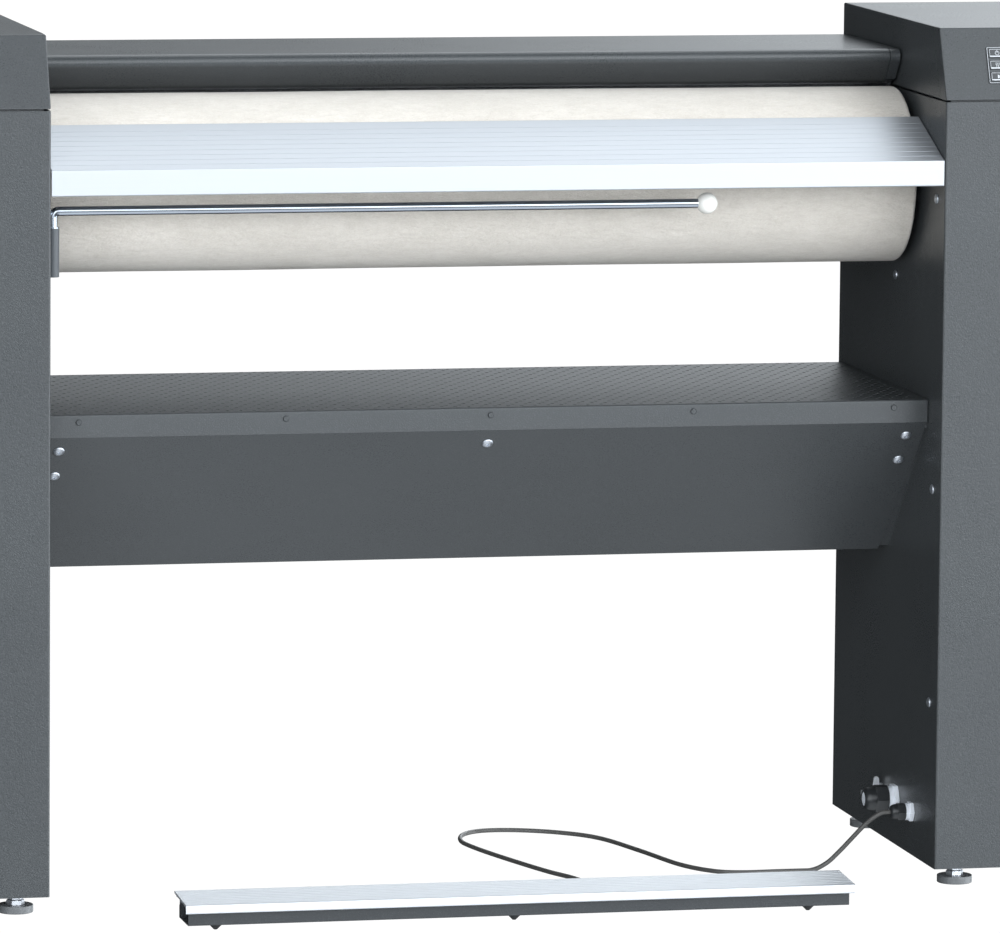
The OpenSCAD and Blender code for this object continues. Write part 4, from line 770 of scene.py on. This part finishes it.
def moulded(name, colour, roughness, grain=0.00006, **sockets):
    """Moulded plastic: fine grain, and clouds in its gloss."""
    plastic = Finish(name, colour, roughness, **sockets)
    plastic.raise_by(plastic.noise(1600, 2.0), grain)
    plastic.drive("Roughness", roughness - 0.04 + plastic.noise(45, 3.0) * 0.08)
    return plastic


rail_x = -0.5237
rail_y = columns_front + 0.038
rail_top = 0.817
rail_low = 0.747
rail_radius = 0.0055
elbow = 0.0075
ball_x = 0.2530
ball_radius = 0.0125
collar_low = 0.7973
bend = arc((rail_x + elbow, rail_top - elbow), elbow, 180, 90, 16)
straight = [(ball_x - (ball_x - bend[-1, 0]) * share, rail_top) for share in (0.999, 0.5, 0.0)]
riser = [(rail_x, rail_low), (rail_x, rail_top - 2 * elbow)]
rail_line = np.vstack([riser, bend, straight])
rod = np.column_stack([rail_line[:, 0], np.full(len(rail_line), rail_y), rail_line[:, 1]])
collar = [(0, 0.0050), (0, 0.0073), (0.0003, 0.0076), (0.0017, 0.0076), (0.0020, 0.0073), (0.0020, 0.0050)]
chrome = plated("polished_chrome", (0.44, 0.48, 0.54), 0.13)
rail = make_mesh("laundry_rail_tube", tube(rod, rail_radius, 40, beside=(0, 1, 0)),
                 turned(collar, (rail_x, rail_y, collar_low), (0, 0, 1), 40))
put(rail, chrome, "chrome", "laundry_rail")
polar = np.radians(np.linspace(4, 176, 36))
ball_rows = np.column_stack([-ball_radius * np.cos(polar), ball_radius * np.sin(polar)])
ball = make_mesh("rail_ball_knob", turned(ball_rows, (ball_x, rail_y, rail_top), (1, 0, 0), 64))
white = moulded("white_ball", (0.93, 0.91, 0.86), 0.16, 0.00001)
put(ball, white, "white_plastic", "rail_ball")
grey = moulded("grey_plastic", (0.075, 0.083, 0.092), 0.35)
soften(grey, ["rail_sleeve"])


# Screws
# Plated button-head screws with a hexagon socket. Four hold the inner face of each casing, and
# five slightly larger ones hold the apron, two at each end and one in the middle.
def hexagon(angle):
    """A hexagon's radius at each angle, as a share of its corner's: the cosine of 30 degrees over that
    of the angle from the middle of the side."""
    return math.cos(math.pi / 6) / np.cos(np.mod(angle, math.pi / 3) - math.pi / 6)


head = 0.0060
head_high = 0.0027
socket = 0.0017
socket_deep = 0.0014
shank = 0.0020
apron_head = 1.15
dome = [(0, 0.97), (0.0003, 1.0), (0.0009, 0.985), (0.0016, 0.88), (0.0022, 0.69), (0.0026, 0.48),
        (head_high, 0.40)]
screw = [(-0.0030, shank), (-0.00001, shank), *[(high, head * share) for high, share in dome],
         (head_high - 0.00005, socket, 1), (head_high - socket_deep, socket, 1)]
casing_places = [(0.034, 0.2181), (0.034, 0.4736), (0.034, 0.819), (0.210, 0.7114)]
apron_places = [(-0.510, 0.1), (-0.510, 0.29), (0.510, 0.1), (0.510, 0.29), (0.0, 0.1)]
apron_top = np.array([columns_front + 0.0585, 0.551])
apron_run = np.array([0.169, -0.174])
apron_out = (0, *(np.array([apron_run[1], -apron_run[0]]) / np.linalg.norm(apron_run)))
screws = [turned(screw, (side * inner_face, columns_front + y, z), (-side, 0, 0), 36, hexagon)
          for side in (-1, 1) for y, z in casing_places]
larger = [(apron_head * high, apron_head * radius, *rest) for high, radius, *rest in screw]
screws += [turned(larger, (x, *(apron_top + share * apron_run)), apron_out, 36, hexagon)
           for x, share in apron_places]
bright = plated("bright_screws", (0.64, 0.67, 0.72), 0.42)
put(make_mesh("panel_screw_heads", *screws), bright, "chrome", "panel_screws")


# Cable glands and earth terminal
# A pale hexagonal collar sits on the column and a black cap nut closes on the cable. The large
# gland is for the mains cable, which isn't fitted: a pale transit plug closes its mouth.
def gland(y, z, collar_corner, collar_long, nut_corner, long, mouth):
    """The collar and the nut of a gland: profiles out from the column's inner face."""
    flat = 0.45 * collar_long
    collar_rows = [(0, 0.97 * collar_corner, 1), (0.0005, collar_corner, 1), (flat, collar_corner, 1),
                   (flat + 0.0006, 0.96 * collar_corner, 1), (flat + 0.0006, 0.80 * collar_corner),
                   (collar_long, 0.80 * collar_corner)]
    nut_shares = [(0, 0.86), (0.02, 0.92), (0.05, 1.0, 1), (0.48, 1.0, 1), (0.54, 0.965, 1), (0.56, 0.85),
                  (0.75, 0.83), (0.88, 0.76), (0.96, 0.66), (1.0, 0.56)]
    nut_rows = [(collar_long + share * long, wide * nut_corner, *rest)
                for share, wide, *rest in nut_shares]
    nut_rows += [(collar_long + long, mouth), (collar_long + 0.65 * long, mouth)]
    place = (inner_face, columns_front + y, z)
    return [turned(rows, place, (-1, 0, 0), 72, hexagon) for rows in (collar_rows, nut_rows)]


pale = moulded("pale_plastic", (0.88, 0.91, 0.97), 0.45)
black = moulded("black_plastic", (0.022, 0.024, 0.026), 0.30)
mains_y = 0.174
mains_z = 0.079
mains_collar, mains_nut = gland(mains_y, mains_z, 0.0187, 0.0115, 0.0178, 0.0295, 0.009)
lead_collar, lead_nut = gland(0.102, 0.075, 0.0128, 0.0092, 0.0110, 0.0178, 0.0032)
plug = [(0.030, 0.0088), (0.0398, 0.0088), (0.0403, 0.0083)]
transit_plug = turned(plug, (inner_face, columns_front + mains_y, mains_z), (-1, 0, 0), 36)
put(make_mesh("mains_gland_collar", mains_collar), pale, "light_plastic", "mains_gland")
put(make_mesh("mains_gland_nut", mains_nut), black, "black_plastic", "mains_gland")
put(make_mesh("mains_gland_transit_plug", transit_plug), pale, "light_plastic", "mains_gland")
put(make_mesh("lead_gland_collar", lead_collar), pale, "light_plastic", "lead_gland")
put(make_mesh("lead_gland_nut", lead_nut), black, "black_plastic", "lead_gland")
nickel = plated("matt_nickel", (0.90, 0.92, 0.95), 0.48)
soften(nickel, ["earth_terminal"], edge=0.0007)


# Levelling feet
# A moulded disc on a threaded stem at each corner, with a spanner hexagon over the disc. A nut
# locks the stem under the column.
foot_radius = 0.021
foot_high = 0.009
stem_radius = 0.005
thread_deep = 0.0004
spanner_corner = 0.0108
spanner_high = 0.0058
casing_low = 0.022
locknut_high = 0.007
locknut_corner = 0.0098
disc = [(0, 0.0200), (0.0004, 0.0207), (0.0010, foot_radius), (foot_high - 0.0008, foot_radius),
        (foot_high - 0.0003, 0.0208), (foot_high, 0.0203), (foot_high, 0.0080)]
crests = np.arange(foot_high + spanner_high, casing_low + 0.016, 0.0004)
stem = [(foot_high - 0.001, 0.0098), (foot_high, 0.0098), (foot_high + 0.0003, spanner_corner, 1),
        (foot_high + spanner_high - 0.0006, spanner_corner, 1),
        (foot_high + spanner_high - 0.0001, 0.0092)]
stem += [(high, stem_radius - (thread_deep if n % 3 == 1 else 0.0)) for n, high in enumerate(crests)]
nut = [(0, 0.0080), (0.0006, locknut_corner, 1), (locknut_high - 0.0006, locknut_corner, 1),
       (locknut_high, 0.0080)]


def at_corners(rows, low, sides, shape=None):
    """The same upright turned piece over each of the machine's eight feet."""
    return [turned(rows, (side * (inner_face + out), columns_front + back, low), (0, 0, 1), sides, shape)
            for side in (-1, 1) for out in (0.035, 0.170) for back in (0.035, 0.432)]


sole = moulded("foot_plastic", (0.13, 0.135, 0.14), 0.34)
zinc = plated("zinc_plate", (0.66, 0.68, 0.72), 0.42)
put(make_mesh("levelling_foot_discs", *at_corners(disc, 0, 64)), sole, "black_plastic", "levelling_feet")
put(make_mesh("levelling_foot_stems", *at_corners(stem, 0, 36, hexagon)), zinc, "zinc", "levelling_feet")
put(make_mesh("foot_locknut_bodies", *at_corners(nut, casing_low - locknut_high, 36, hexagon)),
    zinc, "zinc", "foot_locknuts")


# Control panel
# A moulded frame on the right hood's slope, with three keys and a dark display. Each key has a
# printed outline and a plain sign: start at the bottom, heat above it, power at the top.
slope = math.atan2(0.083, 0.036)
hood_low = 0.938
panel_thick = 0.0012
key_face = panel_thick + 0.0008
key_left = 0.057
key_low = 0.0232
key_step = 0.0146
key_wide = 0.020
key_high = 0.011
sign_line = 0.0006
sign_edge = 0.00024


def on_slope(outline, high):
    """Points given by their distance out from the column's inner face and up the slope, at a height
    on it."""
    out, up = np.asarray(outline).T
    y = columns_front + up * math.cos(slope) - high * math.sin(slope)
    z = hood_low + up * math.sin(slope) + high * math.cos(slope)
    return np.column_stack([inner_face + out, y, z])


def printed(outer, inner, high, thick=0.00012):
    """A flat print between two closed lines of as many points, a little proud of the face it is on."""
    rings = [on_slope(outer, high - thick), on_slope(outer, high + thick),
             on_slope(inner, high + thick), on_slope(inner, high - thick)]
    return np.vstack(rings), ring_faces(4, len(outer)), []


def ring_print(outline, width, high):
    """A printed line of a given width, inside a closed outline."""
    return printed(outline, shrink(outline, width), high)


def filled(outline, hollow):
    """A print inside a closed outline, but for a share left hollow round its middle."""
    return printed(outline, outline * hollow + outline.mean(0) * (1 - hollow), key_face)


def round_box(left, low, wide, high, radius, steps=6):
    """A rectangle with round corners, from its lower left corner."""
    right = left + wide - radius
    upper = low + high - radius
    left = left + radius
    low = low + radius
    quarters = [((right, upper), 0), ((left, upper), 90), ((left, low), 180), ((right, low), 270)]
    return np.vstack([arc(centre, radius, angle, angle + 90, steps) for centre, angle in quarters])


def sheet(line, thick):
    """The outline of a strip of even width along a smooth line: half the width to either side."""
    step = np.gradient(line, axis=0)
    step /= np.linalg.norm(step, axis=1, keepdims=True)
    out = np.column_stack([-step[:, 1], step[:, 0]])
    return both_sides(line, out * thick / 2, step * thick / 2)


def key_print(place, sign):
    """A key's printed outline, its sign and the bar along its lower edge."""
    low = key_low + place * key_step
    border = round_box(key_left + 0.0008, low + 0.0008, key_wide - 0.0016, key_high - 0.0016, 0.0008)
    bar = round_box(key_left + 0.0010, low + 0.0010, key_wide - 0.0020, 0.0012, 0.0003)
    return [ring_print(border, 0.00035, key_face), *sign, filled(bar, 0.05)]


middle = key_left + key_wide / 2
start_at, heat_at, power_at = (key_low + place * key_step + key_high / 2 for place in range(3))
triangle = np.array([[-0.0018, -0.0024], [0.0024, 0.0], [-0.0018, 0.0024]]) + [middle, start_at]
wave = np.column_stack([0.0005 * np.sin(np.linspace(0, 2 * np.pi, 13)), np.linspace(-0.0026, 0.0026, 13)])
waves = [ring_print(sheet(wave + [middle + across, heat_at], sign_line), sign_edge, key_face)
         for across in (-0.0022, 0.0, 0.0022)]
circle = arc((middle, power_at), 0.0026, 0, 360, 36)[:-1]
stroke = round_box(middle - sign_line / 2, power_at, sign_line, 0.0036, 0.00025)
power_sign = [ring_print(circle, 0.0005, key_face), ring_print(stroke, sign_edge, key_face)]
panel_line = round_box(0.0549, 0.0209, 0.0952, 0.0442, 0.0010)
prints = {"start_key": key_print(0, [filled(triangle, 0.3)]), "heat_key": key_print(1, waves),
          "power_key": key_print(2, power_sign),
          "control_panel": [ring_print(panel_line, 0.0004, panel_thick + 0.0004)]}
keys = moulded("key_plastic", (0.055, 0.058, 0.062), 0.42)
ink = moulded("pale_print", (0.66, 0.68, 0.71), 0.4)
panel_grey = moulded("panel_plastic", (0.065, 0.070, 0.075), 0.40)
glass = moulded("display_glass", (0.012, 0.014, 0.016), 0.08, 0.000005)
soften(panel_grey, ["control_panel"], edge=0.0004)
soften(keys, ["power_key", "heat_key", "start_key"], edge=0.0003)
soften(glass, ["display_window"], edge=0.0003)
for node, lines in prints.items():
    put(make_mesh(f"{node}_print", *lines), ink, "light_plastic", node)
pin = [(-0.001, 0.0008), (0.0001, 0.0008), (0.0003, 0.0005)]
slope_pins = [turned(pin, on_slope([place], 0.0)[0], (0, -math.sin(slope), math.cos(slope)), 16)
              for place in ((0.059, 0.0773), (0.060, 0.011))]
put(make_mesh("hood_slope_pins", *slope_pins), black, "black_plastic")


# Foot bar
# A folded sheet channel stands on rubber feet and carries the hinge pin. Its coat is the columns'
# powder made darker, as painted shade for the dimmer light near the floor. The tread is a grooved
# aluminium extrusion that tips on the pin, held up by two bent leaf springs.
def dress(finish, *names):
    """Gives CAD nodes a finish in place of their plain one."""
    for name in names:
        mesh = frame["nodes"][name].data
        mesh.materials.clear()
        mesh.materials.append(finish.material)


steel = plated("turned_steel", (0.52, 0.52, 0.53), 0.30)
rubber = moulded("foot_rubber", (0.025, 0.025, 0.026), 0.75)
tread_metal = drawn("tread_anodised", (0.74, 0.76, 0.79), 0.42, 0.12, 0.7)
# The channel's coat is darker than the columns': painted shade for the dimmer light near the floor.
soften(powder("bar_coat_with_painted_shade", (0.026, 0.029, 0.032), 0.34), ["foot_bar_base"])
soften(tread_metal, ["foot_bar_tread"], edge=0.0002)
dress(zinc, "foot_bar_pin")
dress(steel, "foot_bar_springs")
dress(rubber, "foot_bar_feet")
dress(black, "foot_switch")


# Drive, pan and frame
# What the covers hide: painted tube frames and castings, the turned roller parts, the polished
# aluminium pan with its heaters and wool, and the actuator that closes it.
pan_sole = drawn("pan_sole", (0.72, 0.73, 0.75), 0.22, 0.10)
frame_paint = powder("frame_paint", (0.10, 0.105, 0.11), 0.5)
casting = powder("painted_casting", (0.16, 0.165, 0.17), 0.55)
light_grey = moulded("light_plastic", (0.70, 0.72, 0.74), 0.45)
green = moulded("solder_mask", (0.02, 0.12, 0.05), 0.35)
wadding = Finish("needled_padding", (0.74, 0.70, 0.60), 0.95)
wadding.raise_by(wadding.noise(500, 4.0), 0.0008)
wool = Finish("mineral_wool", (0.62, 0.58, 0.40), 0.95)
wool.raise_by(wool.noise(300, 5.0, stretch=(1, 3, 3)), 0.0015)
dress(pan_sole, "heated_pan")
dress(steel, "roller_tube", "roller_end_discs", "roller_shaft", "heating_elements", "left_pan_arm",
      "right_pan_arm")
dress(zinc, "torque_arm", "pan_pivot_pins", "actuator_rod", "feed_board_brackets")
dress(frame_paint, "left_side_frame", "right_side_frame", "cross_beam", "base_frames")
dress(casting, "roller_bearings", "gear_motor", "pan_actuator")
dress(light_grey, "power_terminals")
dress(green, "control_board")
dress(wadding, "roller_padding")
dress(wool, "pan_insulation")
